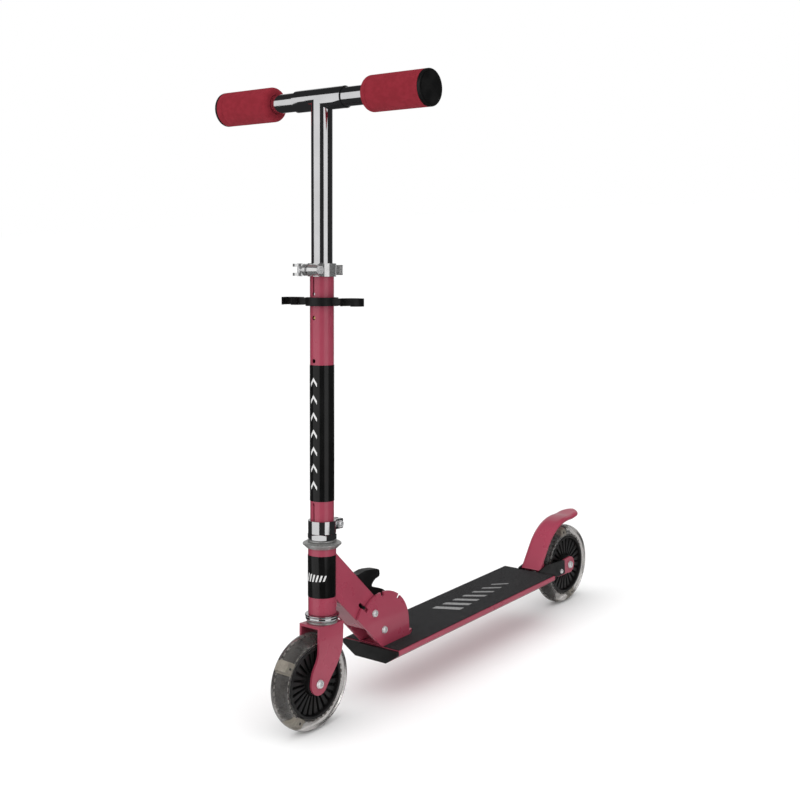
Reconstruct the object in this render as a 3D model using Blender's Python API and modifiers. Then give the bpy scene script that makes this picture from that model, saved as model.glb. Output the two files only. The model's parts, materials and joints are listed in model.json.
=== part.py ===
"""A child's folding kick scooter, one object for each piece, in metres, +Z up.

The front is -Y, +X is the rider's left, and the origin is on the ground midway between the axles.
Sizes below are in millimetres and degrees. Pieces of the steering column are drawn in the column's
own frame, where Z runs up the steering axis from the fork crown and Y points to the rear, and pieces
of the folding neck in the neck's frame, where Z runs up the neck from the fold pivot.
"""

import math

import bmesh
import bpy
from mathutils import Matrix, Vector

MM = 0.001

# Clearances
GAP = 0.3  # between pieces that touch or slide
SKIN_GAP = 0.1  # under a sticker or the grip tape

# Wheels
WHEEL_DIAMETER = 120.0
WHEELBASE = 561.2
TYRE_WIDTH = 24.0
HUB_RADIUS = 44.0
HUB_WIDTH = 22.0
HUB_RIM = 3.6
HUB_WEB = 7.0
HUB_BOSS_RADIUS = 14.5
BEARING_RADIUS = 11.0
BEARING_WIDTH = 7.0
BEARING_BORE = 4.1
AXLE_RADIUS = 3.8
AXLE_HEAD_RADIUS = 5.8
AXLE_HEAD = 3.6
AXLE_NUT = 5.0

# Steering column
LEAN = 4.64
FORK_OFFSET = 22.0
CROWN_GAP = 6.0
SHEET = 3.0
FORK_INSIDE = 27.0
CROWN_FRONT = 22.4
CROWN_REAR = 20.6
FORK_END_RADIUS = 14.0
STEERER_WALL = 2.4
STEERER_TOP = 160.0
HEAD_TUBE_BOTTOM = 11.3
HEAD_TUBE_LENGTH = 80.7
CUP_WALL = 1.7
HEAD_TUBE_WALL = 2.0
BAND_MARGIN = 21.5
LOWER_CUP_RIM = 4.0  # past the head tube
UPPER_CUP_RIM = 6.5
RACE_RIM = 1.8
CUP_SKIRT = 8.0
TOP_NUT_WALL = 2.5
TOP_NUT_HEIGHT = 7.0

# Lower tube, stem and what is on them
TUBE_RADIUS = 14.3
TUBE_WALL = 1.3
TUBE_BOTTOM = 110.0
TUBE_LENGTH = 321.0
SLIT = 2.0
SLIT_HOLE = 2.2
LOWER_SLIT = 36.0
UPPER_SLIT = 34.0
BUTTON_DROP = 62.0
BUTTON_PITCH = 51.0
BUTTON_RADIUS = 2.3
BUTTON_TRAVEL = 2.5
STICKER = 0.3
STICKER_BOTTOM = 150.0
STICKER_MARGIN = 5.0
CLAMP_HEIGHT = 15.5
CLAMP_WALL = 2.3
CLAMP_GAP = 3.0
HOLDER_DROP = 38.0
HOLDER_HEIGHT = 10.0
HOLDER_WALL = 4.9
CLIP_SPACING = 96.0
CLIP_WALL = 2.5
CLIP_SLACK = 0.2
CLIP_MOUTH = 15.0
STEM_WALL = 1.5
STEM_BOTTOM = 333.0
BAR_HEIGHT = 622.6
TEE_LENGTH = 76.0
TEE_WALL = 1.3

# Handlebar
HANDLEBAR_WIDTH = 324.0
BAR_WALL = 1.5
BAR_BUTTON_X = 20.0
GRIP_RADIUS = 20.5
GRIP_LENGTH = 84.0
GRIP_ROUND = 6.0
END_CAP = 3.5
END_CAP_PLUG = 14.0

# Quick-release clamp
QR_CLEAR = 4.6  # from the ring to the bolt's axis
QR_BOLT_RADIUS = 2.5
QR_BOSS_RADIUS = 6.0
QR_BOSS_LENGTH = 14.0
QR_EAR = 4.6
QR_PIN_X = 15.2
QR_HEAD_RADIUS = 8.5
QR_ARM = 4.4
QR_ARM_HEIGHT = 12.0

# Deck
DECK_ABOVE_AXLE = 10.2
DECK_WIDTH = 92.0
DECK_HEIGHT = 19.2
DECK_BAND = 6.0
DECK_BOTTOM_WIDTH = 52.0
DECK_WALL = 1.5
DECK_FRONT_GAP = 54.6
DECK_REAR_GAP = 27.6
FRONT_CAP = 4.0
CAP_PLUG = 8.0
TAPE = 0.8
TAPE_MARGIN = 1.5

# Fold
PIVOT_ABOVE_DECK = 21.8
PIVOT_BEHIND_FRONT = 5.0
NECK_WIDTH = 30.0
NECK_WALL = 2.0
NECK_LOW = 18.0
NECK_HIGH = 23.8
NECK_END_RADIUS = 17.8
NECK_TOP_SHOULDER = 6.0
NECK_WELD = 4.0  # behind the column's axis, where the neck's sides end in the head tube's wall
NECK_JOINS_AT = 50.5  # up the head tube from its lower end
FOLD_ANGLE = 84.0
RIM_RADIUS = 49.5
LOBE_RADIUS = 55.5
NOTCH_WIDTH = 5.2
NOTCH_DEPTH = 5.5
BASE_TAIL = 12.5
BOLT_RADIUS = 3.8
BOLT_HEAD_RADIUS = 5.0
BOLT_HEAD = 3.4
BOLT_NUT = 5.0
STOP_RADIUS = 31.0
STOP_ANGLE = 10.0  # behind the neck's middle line, towards its top
STOP_BOLT_RADIUS = 3.0
LOCK_PIN_RADIUS = 2.3
LOCK_TRAVEL = 6.0
LEVER_WIDTH = 13.0
SPRING_RADIUS = 4.2
SPRING_WIRE = 0.6
SPRING_TURNS = 6
BASE_SCREW_X = 8.0

# Rear fork and brake
ARM_THICKNESS = 3.0
ARM_INSIDE = 27.0
ARM_HALF_HEIGHT = 8.5
ARM_END_RADIUS = 12.5
CHEEK = 2.5
COVER_END = 18.5  # ahead of the axle
CAP_WALL = 3.7
FENDER_GAP = 14.0
FENDER_SHEET = 2.0
FENDER_LIP = 6.0
FENDER_WIDTH = 33.0
FENDER_START = 143.0
FENDER_END = 82.0
FENDER_SKIRT = 41.0
FENDER_FLICK = 27.0
FENDER_FLICK_ANGLE = 6.0
BRAKE_PIN_CLEAR = 11.1  # from the tyre to the pin's axis
BRAKE_PIN_ABOVE = 3.0
BRAKE_PIN_RADIUS = 3.0
BRAKE_EAR_RADIUS = 8.0
COVER_SCREW_AHEAD = 28.6

# Places that follow from the sizes above
WHEEL_RADIUS = WHEEL_DIAMETER / 2
FRONT_AXLE = Vector((0, -WHEELBASE / 2, WHEEL_RADIUS))
REAR_AXLE = Vector((0, WHEELBASE / 2, WHEEL_RADIUS))
AXLE_DROP = WHEEL_RADIUS + CROWN_GAP + SHEET
FORK_WIDTH = FORK_INSIDE + 2 * SHEET
FORK_HALF = FORK_WIDTH / 2
COLUMN_TURN = Matrix.Rotation(math.radians(-LEAN), 3, "X")
COLUMN_UP = COLUMN_TURN @ Vector((0, 0, 1))
COLUMN_BACK = COLUMN_TURN @ Vector((0, 1, 0))
CROWN = FRONT_AXLE + FORK_OFFSET * COLUMN_BACK + AXLE_DROP * COLUMN_UP
TUBE_BORE = TUBE_RADIUS - TUBE_WALL
STEM_RADIUS = TUBE_BORE - GAP
STEERER_RADIUS = TUBE_BORE - GAP
CUP_BORE = STEERER_RADIUS + GAP
HEAD_TUBE_BORE = CUP_BORE + CUP_WALL + GAP
HEAD_TUBE_RADIUS = HEAD_TUBE_BORE + HEAD_TUBE_WALL
TOP_NUT_ACROSS = 2 * (CUP_BORE + TOP_NUT_WALL)
HEAD_TUBE_TOP = HEAD_TUBE_BOTTOM + HEAD_TUBE_LENGTH
TUBE_TOP = TUBE_BOTTOM + TUBE_LENGTH
BUTTON_HEIGHT = TUBE_TOP - BUTTON_DROP
TEE_BORE = STEM_RADIUS - TEE_WALL
BAR_RADIUS = TEE_BORE - GAP
CLIP_BORE = BAR_RADIUS + CLIP_SLACK
CLIP_RADIUS = CLIP_BORE + CLIP_WALL
CLAMP_BORE = TUBE_RADIUS + GAP
CLAMP_RADIUS = CLAMP_BORE + CLAMP_WALL
HOLDER_RADIUS = CLAMP_BORE + HOLDER_WALL
QR_FORWARD = CLAMP_RADIUS + QR_CLEAR
UPPER_CLAMP = TUBE_TOP + 2.0 - CLAMP_HEIGHT
LOWER_CLAMP = TUBE_BOTTOM + GAP
DECK_TOP = WHEEL_RADIUS + DECK_ABOVE_AXLE
DECK_BOTTOM = DECK_TOP - DECK_HEIGHT
DECK_FRONT = FRONT_AXLE.y + WHEEL_RADIUS + DECK_FRONT_GAP
DECK_REAR = REAR_AXLE.y - WHEEL_RADIUS - DECK_REAR_GAP
PIVOT = Vector((0, DECK_FRONT + PIVOT_BEHIND_FRONT, DECK_TOP + PIVOT_ABOVE_DECK))
NECK_TARGET = CROWN + (HEAD_TUBE_BOTTOM + NECK_JOINS_AT) * COLUMN_UP - PIVOT
NECK_LENGTH = NECK_TARGET.length
NECK_TILT = math.degrees(math.atan2(-NECK_TARGET.y, NECK_TARGET.z))
NECK_TO_COLUMN = math.radians(NECK_TILT + LEAN)
LOCK_ANGLE = 90.0 + NECK_TILT
LOCK_PIN_AT = RIM_RADIUS + GAP + LOCK_PIN_RADIUS
BRACKET_INSIDE = NECK_WIDTH / 2 + 0.6
BRACKET_OUTSIDE = BRACKET_INSIDE + SHEET
BASE_BOTTOM = GAP - PIVOT_ABOVE_DECK
BASE_TOP = BASE_BOTTOM + SHEET
ARM_OUTSIDE = ARM_INSIDE / 2 + ARM_THICKNESS
ARM_START = DECK_REAR + GAP + CAP_WALL + GAP - REAR_AXLE.y


def collection(name):
    made = bpy.data.collections.new(name)
    bpy.context.scene.collection.children.link(made)
    return made


def clear_scene():
    for obj in list(bpy.data.objects):
        bpy.data.objects.remove(obj, do_unlink=True)


clear_scene()
PARTS = collection("kick_scooter")
HELPERS = collection("cutters_and_joined_shapes")


def paint(name, colour, roughness, metallic=0.0, see_through=0.0):
    """A Principled material of one colour."""
    made = bpy.data.materials.new(name)
    made.use_nodes = True
    shader = made.node_tree.nodes["Principled BSDF"]
    shader.inputs["Base Color"].default_value = (*colour, 1)
    shader.inputs["Roughness"].default_value = roughness
    shader.inputs["Metallic"].default_value = metallic
    shader.inputs["Transmission Weight"].default_value = see_through
    return made


RED = paint("raspberry paint", (0.33, 0.045, 0.09), 0.3)
BLACK = paint("black plastic", (0.012, 0.012, 0.012), 0.5)
CHROME = paint("chrome", (0.75, 0.75, 0.76), 0.12, 1.0)
STEEL = paint("zinc-plated steel", (0.55, 0.55, 0.56), 0.35, 1.0)
BRASS = paint("brass", (0.7, 0.48, 0.2), 0.3, 1.0)
CLEAR = paint("smoky clear vinyl", (0.35, 0.33, 0.3), 0.15, 0.0, 0.7)
TAPE_GRIT = paint("grit tape", (0.02, 0.02, 0.02), 0.95)
FOAM = paint("red foam", (0.26, 0.028, 0.04), 0.9)
STICKER_FILM = paint("black sticker film", (0.012, 0.012, 0.012), 0.2)


# Shapes. Each is made as a hidden helper, and part() turns the finished ones into pieces.


def empty(name, place, turn=0.0, parent=None):
    """An axis that pieces hang from, turned about X by some degrees."""
    obj = bpy.data.objects.new(name, None)
    PARTS.objects.link(obj)
    obj.parent = parent
    obj.matrix_basis = Matrix.Translation(Vector(place) * MM) @ Matrix.Rotation(math.radians(turn), 4, "X")
    return obj


def helper(data, parent, place=None):
    obj = bpy.data.objects.new("shape", data)
    HELPERS.objects.link(obj)
    obj.parent = parent
    obj.matrix_basis = place or Matrix()
    obj.hide_render = True
    obj.display_type = "WIRE"
    return obj


def from_bmesh(bm, parent, place=None):
    mesh = bpy.data.meshes.new("shape")
    bm.to_mesh(mesh)
    bm.free()
    return helper(mesh, parent, place)


def box(low, high, parent, place=None):
    low, high = Vector(low), Vector(high)
    bm = bmesh.new()
    bmesh.ops.create_cube(bm, size=1)
    bmesh.ops.scale(bm, vec=(high - low) * MM, verts=bm.verts)
    bmesh.ops.translate(bm, vec=(low + high) / 2 * MM, verts=bm.verts)
    return from_bmesh(bm, parent, place)


def rod(radius, start, end, parent, sides=32, end_radius=None):
    """A cylinder or a cone from start to end."""
    start, end = Vector(start), Vector(end)
    along = end - start
    bm = bmesh.new()
    bmesh.ops.create_cone(
        bm,
        cap_ends=True,
        segments=sides,
        radius1=radius * MM,
        radius2=(radius if end_radius is None else end_radius) * MM,
        depth=along.length * MM,
    )
    turn = along.to_track_quat("Z", "Y").to_matrix().to_4x4()
    bm.transform(Matrix.Translation((start + end) / 2 * MM) @ turn)
    return from_bmesh(bm, parent)


def turned(profile, parent, along="Z", ring=True, sides=24, place=None):
    """A profile of (radius, height) spun round Z or X. Its points run down the outer side."""
    bm = bmesh.new()
    verts = [bm.verts.new((r * MM, 0, h * MM)) for r, h in profile]
    for a, b in zip(verts, verts[1:]):
        bm.edges.new((a, b))
    if ring:
        bm.edges.new((verts[-1], verts[0]))
    turn = Matrix.Rotation(math.radians(90), 4, "Y") if along == "X" else Matrix()
    obj = from_bmesh(bm, parent, (place or Matrix()) @ turn)
    screw = obj.modifiers.new("Spin", "SCREW")
    screw.steps = screw.render_steps = sides
    screw.use_merge_vertices = True
    screw.merge_threshold = 1e-6
    return obj


SLAB_TURNS = {
    "X": Matrix(((0, 0, 1, 0), (1, 0, 0, 0), (0, 1, 0, 0), (0, 0, 0, 1))),
    "Y": Matrix(((1, 0, 0, 0), (0, 0, -1, 0), (0, 1, 0, 0), (0, 0, 0, 1))),
    "Z": Matrix(),
}


def slab(outline, low, high, parent, across="X", place=None):
    """A flat outline made as thick as from low to high along one axis. Its points are (y, z), (x, z)
    or (x, y)."""
    curve = bpy.data.curves.new("outline", "CURVE")
    curve.dimensions = "2D"
    curve.fill_mode = "BOTH"
    curve.extrude = (high - low) / 2 * MM
    spline = curve.splines.new("POLY")
    spline.points.add(len(outline) - 1)
    for point, (u, v) in zip(spline.points, outline):
        point.co = (u * MM, v * MM, 0, 1)
    spline.use_cyclic_u = True
    guide = bpy.data.objects.new("outline", curve)
    HELPERS.objects.link(guide)
    graph = bpy.context.evaluated_depsgraph_get()
    mesh = bpy.data.meshes.new_from_object(guide.evaluated_get(graph))
    bpy.data.objects.remove(guide)
    bpy.data.curves.remove(curve)
    bm = bmesh.new()
    bm.from_mesh(mesh)
    bpy.data.meshes.remove(mesh)
    bmesh.ops.remove_doubles(bm, verts=bm.verts, dist=1e-6)
    middle = (low + high) / 2 * (-1 if across == "Y" else 1)
    bm.transform(SLAB_TURNS[across] @ Matrix.Translation((0, 0, middle * MM)))
    bmesh.ops.recalc_face_normals(bm, faces=bm.faces)
    if bm.calc_volume(signed=True) < 0:
        bmesh.ops.reverse_faces(bm, faces=bm.faces)
    return from_bmesh(bm, parent, place)


def wire(points, radius, parent):
    curve = bpy.data.curves.new("wire", "CURVE")
    curve.dimensions = "3D"
    curve.bevel_depth = radius * MM
    curve.bevel_resolution = 1
    curve.use_fill_caps = True
    spline = curve.splines.new("POLY")
    spline.points.add(len(points) - 1)
    for point, place in zip(spline.points, points):
        point.co = (*(Vector(place) * MM), 1)
    return helper(curve, parent)


def boolean(obj, others, operation):
    for other in others:
        step = obj.modifiers.new(operation.title(), "BOOLEAN")
        step.operation = operation
        step.object = other
    return obj


def cut(obj, *others):
    return boolean(obj, others, "DIFFERENCE")


def join(obj, *others):
    return boolean(obj, others, "UNION")


def part(obj, name, material):
    """Turns a helper into one of the scooter's pieces."""
    HELPERS.objects.unlink(obj)
    PARTS.objects.link(obj)
    obj.name = obj.data.name = name
    obj.hide_render = False
    obj.display_type = "TEXTURED"
    obj.data.materials.append(material)
    if obj.type == "MESH":
        obj.data.shade_smooth()
        obj.data.set_sharp_from_angle(angle=math.radians(35))
    return obj


# Outlines


def polar(radius, degrees, centre=(0, 0)):
    angle = math.radians(degrees)
    return centre[0] + radius * math.cos(angle), centre[1] + radius * math.sin(angle)


def arc(radius, start, end, steps, centre=(0, 0)):
    return [polar(radius, start + (end - start) * i / steps, centre) for i in range(steps + 1)]


def bezier(a, b, c, d, steps):
    """A cubic curve from a to d, without its first point."""
    points = []
    for i in range(1, steps + 1):
        t = i / steps
        weights = (1 - t) ** 3, 3 * t * (1 - t) ** 2, 3 * t * t * (1 - t), t**3
        points.append(tuple(sum(w * p[k] for w, p in zip(weights, (a, b, c, d))) for k in (0, 1)))
    return points


def smooth(points, steps=2):
    """A curve through the points, as a list of short lines."""
    out = []
    last = len(points) - 1
    for i in range(last):
        before, a, b, after = points[max(i - 1, 0)], points[i], points[i + 1], points[min(i + 2, last)]
        c1 = tuple(a[k] + (b[k] - before[k]) / 6 for k in (0, 1))
        c2 = tuple(b[k] - (after[k] - a[k]) / 6 for k in (0, 1))
        out += bezier(a, c1, c2, b, steps)
    return [points[0]] + out


def inset(outline, distance):
    """A convex outline, listed counterclockwise, moved inwards by a distance."""
    moved = []
    for i, here in enumerate(outline):
        before, after = Vector(outline[i - 1]), Vector(outline[(i + 1) % len(outline)])
        here = Vector(here)
        sides = [(here - before).normalized(), (after - here).normalized()]
        normals = [Vector((-side.y, side.x)) for side in sides]
        step = (normals[0] + normals[1]) / (1 + normals[0].dot(normals[1]))
        moved.append(tuple(here + distance * step))
    return moved


def stadium(radius, start, end, steps=6):
    """A slot's outline along the second axis."""
    return arc(radius, 180, 360, steps, (0, start)) + arc(radius, 0, 180, steps, (0, end))


# Fasteners. Each lies along X, with its head or nut on the side that its sign gives.


def hexagon(across, low, high, parent, centre=(0, 0)):
    """A six-sided prism along X, centred at (y, z)."""
    y, z = centre
    return rod(across / math.sqrt(3), (low, y, z), (high, y, z), parent, sides=6)


def socket_bolt(shank, head_radius, head, under_head, tip, parent, centre=(0, 0)):
    """A bolt with a domed socket head. Its head points to the side that under_head is on."""
    side = 1 if under_head > tip else -1
    top = under_head + side * head
    edge = head * 0.35
    profile = [
        (0, abs(top)),
        (head_radius * 0.75, abs(top)),
        (head_radius, abs(top) - edge),
        (head_radius, abs(under_head)),
        (shank, abs(under_head)),
        (shank, side * tip),
        (0, side * tip),
    ]
    turn = Matrix.Rotation(math.radians(180), 4, "Z") if side < 0 else Matrix()
    place = Matrix.Translation(Vector((0, *centre)) * MM) @ turn
    bolt = turned(profile, parent, along="X", ring=False, sides=14, place=place)
    depth = head * 0.6
    recess = hexagon(head_radius * 0.9, *sorted((top - side * depth, top + side)), parent, centre)
    return cut(bolt, recess)


def nut(hole, across, low, high, parent, centre=(0, 0)):
    """A hexagon nut between two places on X."""
    y, z = centre
    bore = rod(hole, (low - 1, y, z), (high + 1, y, z), parent, sides=16)
    return cut(hexagon(across, low, high, parent, centre), bore)


# The axes that the pieces hang from

SCOOTER = empty("kick_scooter_frame", (0, 0, 0))
FOLD = empty("fold_axis", PIVOT, parent=SCOOTER)
NECK = empty("neck_axis", PIVOT, NECK_TILT, SCOOTER)
COLUMN = empty("steering_axis", CROWN, -LEAN, SCOOTER)
FRONT = empty("front_axle_axis", FRONT_AXLE, parent=SCOOTER)
REAR = empty("rear_axle_axis", REAR_AXLE, parent=SCOOTER)
BRAKE_PIN = Vector((0, -WHEEL_RADIUS - BRAKE_PIN_CLEAR, BRAKE_PIN_ABOVE))
BRAKE = empty("brake_axis", REAR_AXLE + BRAKE_PIN, parent=SCOOTER)


# Wheels


def tyre(name, parent):
    """A vinyl ring, half an ellipse in section."""
    inner = HUB_RADIUS + GAP
    depth = 9.0
    core = WHEEL_RADIUS - depth
    half = TYRE_WIDTH / 2
    crown = [(core + depth * math.cos(a), half * math.sin(a)) for a in (math.radians(d) for d in range(90, -91, -30))]
    profile = [(inner, half - 1.0)] + crown + [(inner, 1.0 - half)]
    part(turned(profile, parent, along="X", sides=40), name, CLEAR)


def hub(name, parent):
    """A moulded hub: rim, thin web and a boss with a seat for a bearing on each side."""
    rim, web, boss = HUB_WIDTH / 2, HUB_WEB / 2, TYRE_WIDTH / 2
    seat = boss - BEARING_WIDTH - GAP
    seat_radius = BEARING_RADIUS + GAP
    side = [
        (HUB_RADIUS, rim),
        (HUB_RADIUS - HUB_RIM, rim),
        (HUB_RADIUS - HUB_RIM, web),
        (HUB_BOSS_RADIUS, web),
        (HUB_BOSS_RADIUS, boss),
        (seat_radius, boss),
        (seat_radius, seat),
        (BEARING_RADIUS - 2, seat),
    ]
    profile = [(r, -h) for r, h in side] + [(r, h) for r, h in reversed(side)]
    part(turned(profile, parent, along="X", sides=24), name, BLACK)


def bearing(name, parent, side):
    """A sealed ball bearing, in its seat at one side of the hub."""
    outer = side * TYRE_WIDTH / 2
    high, low = max(outer, outer - side * BEARING_WIDTH), min(outer, outer - side * BEARING_WIDTH)
    profile = [(BEARING_RADIUS, high), (BEARING_RADIUS, low), (BEARING_BORE, low), (BEARING_BORE, high)]
    part(turned(profile, parent, along="X", sides=20), name, STEEL)


def wheel(where, parent, fork_half):
    tyre(where + "_tyre", parent)
    hub(where + "_hub", parent)
    bearing(where + "_bearing_left", parent, 1)
    bearing(where + "_bearing_right", parent, -1)
    face = fork_half + GAP
    bolt = socket_bolt(AXLE_RADIUS, AXLE_HEAD_RADIUS, AXLE_HEAD, face, -face - AXLE_NUT - 1, parent)
    part(bolt, where + "_axle_bolt", STEEL)
    across = 2 * AXLE_HEAD_RADIUS
    part(nut(AXLE_RADIUS + GAP, across, -face - AXLE_NUT, -face, parent), where + "_axle_nut", STEEL)


wheel("front", FRONT, FORK_HALF)
wheel("rear", REAR, ARM_OUTSIDE)


# Fork and headset


def fork_outline():
    """The fork's side: a straight blade that sweeps forward to a round end at the axle."""
    axle = (-FORK_OFFSET, -AXLE_DROP)
    knee = -30.0
    front = [(-CROWN_FRONT, 0.0), (-CROWN_FRONT - 0.4, knee)]
    tip = axle[0] - FORK_END_RADIUS
    front += bezier(front[-1], (front[-1][0] - 0.4, knee - 14), (tip, axle[1] + 21), (tip, axle[1]), 7)
    end = arc(FORK_END_RADIUS, 180, 330, 9, axle)[1:]
    rear = bezier(end[-1], (end[-1][0] + 7, end[-1][1] + 12), (14, axle[1] + 17), (19, knee), 7)
    return front + end + rear + [(CROWN_REAR, 0.0)]


def fork():
    """An inverted U of sheet with the steerer tube welded into its crown."""
    body = slab(fork_outline(), -FORK_HALF, FORK_HALF, COLUMN)
    inside = FORK_INSIDE / 2
    cut(body, box((-inside, -80, -200), (inside, 80, -SHEET), COLUMN))
    cut(body, rod(AXLE_RADIUS + GAP, (-40, 0, 0), (40, 0, 0), FRONT, 16))
    join(body, rod(STEERER_RADIUS, (0, 0, -SHEET / 2), (0, 0, STEERER_TOP), COLUMN, 24))
    bore = STEERER_RADIUS - STEERER_WALL
    cut(body, rod(bore, (0, 0, -SHEET - 5), (0, 0, STEERER_TOP + 5), COLUMN, 24))
    part(body, "fork", RED)


def headset():
    """Race, cups, keyed washer and top nut, each a ring round the steerer."""
    bore = CUP_BORE
    skirt = bore + CUP_WALL
    race_top = 3.3
    rim = HEAD_TUBE_RADIUS + RACE_RIM
    race = [(rim - 1.3, race_top), (rim, 1.5), (rim, GAP), (bore, GAP), (bore, race_top)]
    part(turned(race, COLUMN), "crown_race", STEEL)
    low, seat = race_top + GAP, HEAD_TUBE_BOTTOM - GAP
    rim = HEAD_TUBE_RADIUS + LOWER_CUP_RIM
    lower = [
        (skirt, seat + CUP_SKIRT),
        (skirt, seat),
        (rim - 1.2, seat),
        (rim, seat - 1.5),
        (rim, low + 2),
        (rim - 1.8, low),
        (bore, low),
        (bore, seat + CUP_SKIRT),
    ]
    part(turned(lower, COLUMN), "lower_cup", CHROME)
    seat = HEAD_TUBE_TOP + GAP
    top = seat + 7.6
    rim = HEAD_TUBE_RADIUS + UPPER_CUP_RIM
    upper = [
        (rim - 4, top),
        (rim, top - 1.4),
        (rim, top - 3.4),
        (HEAD_TUBE_RADIUS + 1.5, seat),
        (skirt, seat),
        (skirt, seat - CUP_SKIRT),
        (bore, seat - CUP_SKIRT),
        (bore, top),
    ]
    part(turned(upper, COLUMN), "upper_cup", STEEL)
    low = top + GAP
    high = TUBE_BOTTOM - GAP - TOP_NUT_HEIGHT - GAP
    washer = [(TOP_NUT_ACROSS / 2 + 2, high), (TOP_NUT_ACROSS / 2 + 2, low), (bore, low), (bore, high)]
    part(turned(washer, COLUMN), "top_washer", STEEL)
    low = high + GAP
    body = rod(TOP_NUT_ACROSS / math.sqrt(3), (0, 0, low), (0, 0, low + TOP_NUT_HEIGHT), COLUMN, 6)
    cut(body, rod(bore, (0, 0, low - 2), (0, 0, low + TOP_NUT_HEIGHT + 2), COLUMN, 24))
    part(body, "top_nut", STEEL)


# Neck and head tube, which fold as one


def neck_meets(across, offset):
    """How far up the neck its line at a height across it meets a line behind the column's axis."""
    return NECK_LENGTH - (offset - across * math.cos(NECK_TO_COLUMN)) / math.sin(NECK_TO_COLUMN)


def neck_outline():
    end = arc(NECK_END_RADIUS, 180, 360, 14)
    top = [(NECK_HIGH, NECK_TOP_SHOULDER), (NECK_HIGH, neck_meets(NECK_HIGH, NECK_WELD))]
    return [(-NECK_LOW, neck_meets(-NECK_LOW, NECK_WELD)), (-NECK_LOW, 0.5)] + end[1:] + top


def neck_cavity():
    low, high = NECK_WALL - NECK_LOW, NECK_HIGH - NECK_WALL
    wall = HEAD_TUBE_RADIUS + NECK_WALL
    below = -2 * NECK_END_RADIUS
    return [(low, neck_meets(low, wall)), (low, below), (high, below), (high, neck_meets(high, wall))]


def neck_frame():
    """A rectangular tube welded to the head tube. Slots let the lock pin and the lever slide, and an
    arc slot, open below, lets the stop bolt pass while the neck swings."""
    half = NECK_WIDTH / 2
    body = slab(neck_outline(), -half, half, NECK)
    cut(body, slab(neck_cavity(), NECK_WALL - half, half - NECK_WALL, NECK))
    join(body, rod(HEAD_TUBE_RADIUS, (0, 0, HEAD_TUBE_BOTTOM), (0, 0, HEAD_TUBE_TOP), COLUMN, 24))
    cut(body, rod(HEAD_TUBE_BORE, (0, 0, HEAD_TUBE_BOTTOM - 5), (0, 0, HEAD_TUBE_TOP + 5), COLUMN, 24))
    cut(body, rod(BOLT_RADIUS + GAP, (-30, 0, 0), (30, 0, 0), NECK, 16))
    pin = LOCK_PIN_RADIUS + GAP
    cut(body, slab(stadium(pin, LOCK_PIN_AT, LOCK_PIN_AT + LOCK_TRAVEL), -30, 30, NECK))
    lever_low, lever_high = LEVER_ENDS
    half_lever = LEVER_WIDTH / 2 + 1
    low = (-half_lever, NECK_HIGH - 2 * NECK_WALL, lever_low - 3)
    high = (half_lever, NECK_HIGH + 5, lever_high + LOCK_TRAVEL + 2)
    cut(body, box(low, high, NECK))
    reach = STOP_BOLT_RADIUS + 0.8
    spare = 8.0
    start, end = 90 - STOP_ANGLE - spare, 90 - STOP_ANGLE + FOLD_ANGLE + spare
    band = arc(STOP_RADIUS + reach, start, end, 14) + arc(STOP_RADIUS - reach, end, start, 14)
    cut(body, slab(band, -30, 30, NECK))
    part(body, "neck_frame", RED)


def head_band():
    """A sticker round the front of the head tube, ending at the neck's sides."""
    inner = HEAD_TUBE_RADIUS + SKIN_GAP
    low, high = HEAD_TUBE_BOTTOM + BAND_MARGIN, HEAD_TUBE_TOP - BAND_MARGIN / 2.6
    profile = [(inner + STICKER, high), (inner + STICKER, low), (inner, low), (inner, high)]
    body = turned(profile, COLUMN)
    half = NECK_WIDTH / 2 + GAP
    cut(body, box((-half, 0, low - 5), (half, 40, high + 5), COLUMN))
    part(body, "head_band", STICKER_FILM)


# Lock lever: a plastic slide with a finger hook, the pin that it carries and its spring

LEVER_ENDS = (23.5, 84.0)
LEVER_HOOK = [
    (25.5, 84.0), (30.8, 77.2), (42.3, 69.0), (51.0, 58.7), (57.1, 49.6), (56.1, 45.9), (51.2, 42.0),
    (45.1, 45.8), (37.5, 46.9), (33.8, 44.3), (38.4, 35.5), (43.0, 24.8), (44.0, 18.1), (41.7, 15.0),
    (36.4, 18.5), (31.3, 23.2), (26.0, 25.0),
]
LEVER_FOOT = -6.0
LEVER_SEAT = NECK_HIGH - NECK_WALL - 1.5


def lock_slider():
    """Drawn in the neck's frame as (across the neck, along it)."""
    low, high = LEVER_ENDS
    foot = [LOCK_PIN_AT - 6, LOCK_PIN_AT + 6]
    neck_side = [(LEVER_SEAT, low + 1.5), (LEVER_SEAT, foot[0]), (LEVER_FOOT, foot[0])]
    neck_side += [(LEVER_FOOT, foot[1]), (LEVER_SEAT, foot[1]), (LEVER_SEAT, high)]
    body = slab(smooth(LEVER_HOOK) + neck_side, -LEVER_WIDTH / 2, LEVER_WIDTH / 2, NECK)
    cut(body, rod(LOCK_PIN_RADIUS + GAP, (-20, 0, LOCK_PIN_AT), (20, 0, LOCK_PIN_AT), NECK, 16))
    part(body, "lock_slider", BLACK)


def lock_pin():
    half = BRACKET_OUTSIDE - GAP
    body = rod(LOCK_PIN_RADIUS, (-half, 0, LOCK_PIN_AT), (half, 0, LOCK_PIN_AT), NECK, 16)
    part(body, "lock_pin", BLACK)


def coil(radius, turns, start, end, steps=8):
    """A helix round Z between two heights, each end a closed flat turn."""
    points = []
    count = turns * steps
    for i in range(count + 1):
        t = min(max((i - steps) / (count - 2 * steps), 0), 1)
        angle = math.tau * i / steps
        points.append((radius * math.cos(angle), radius * math.sin(angle), start + (end - start) * t))
    return points


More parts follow.
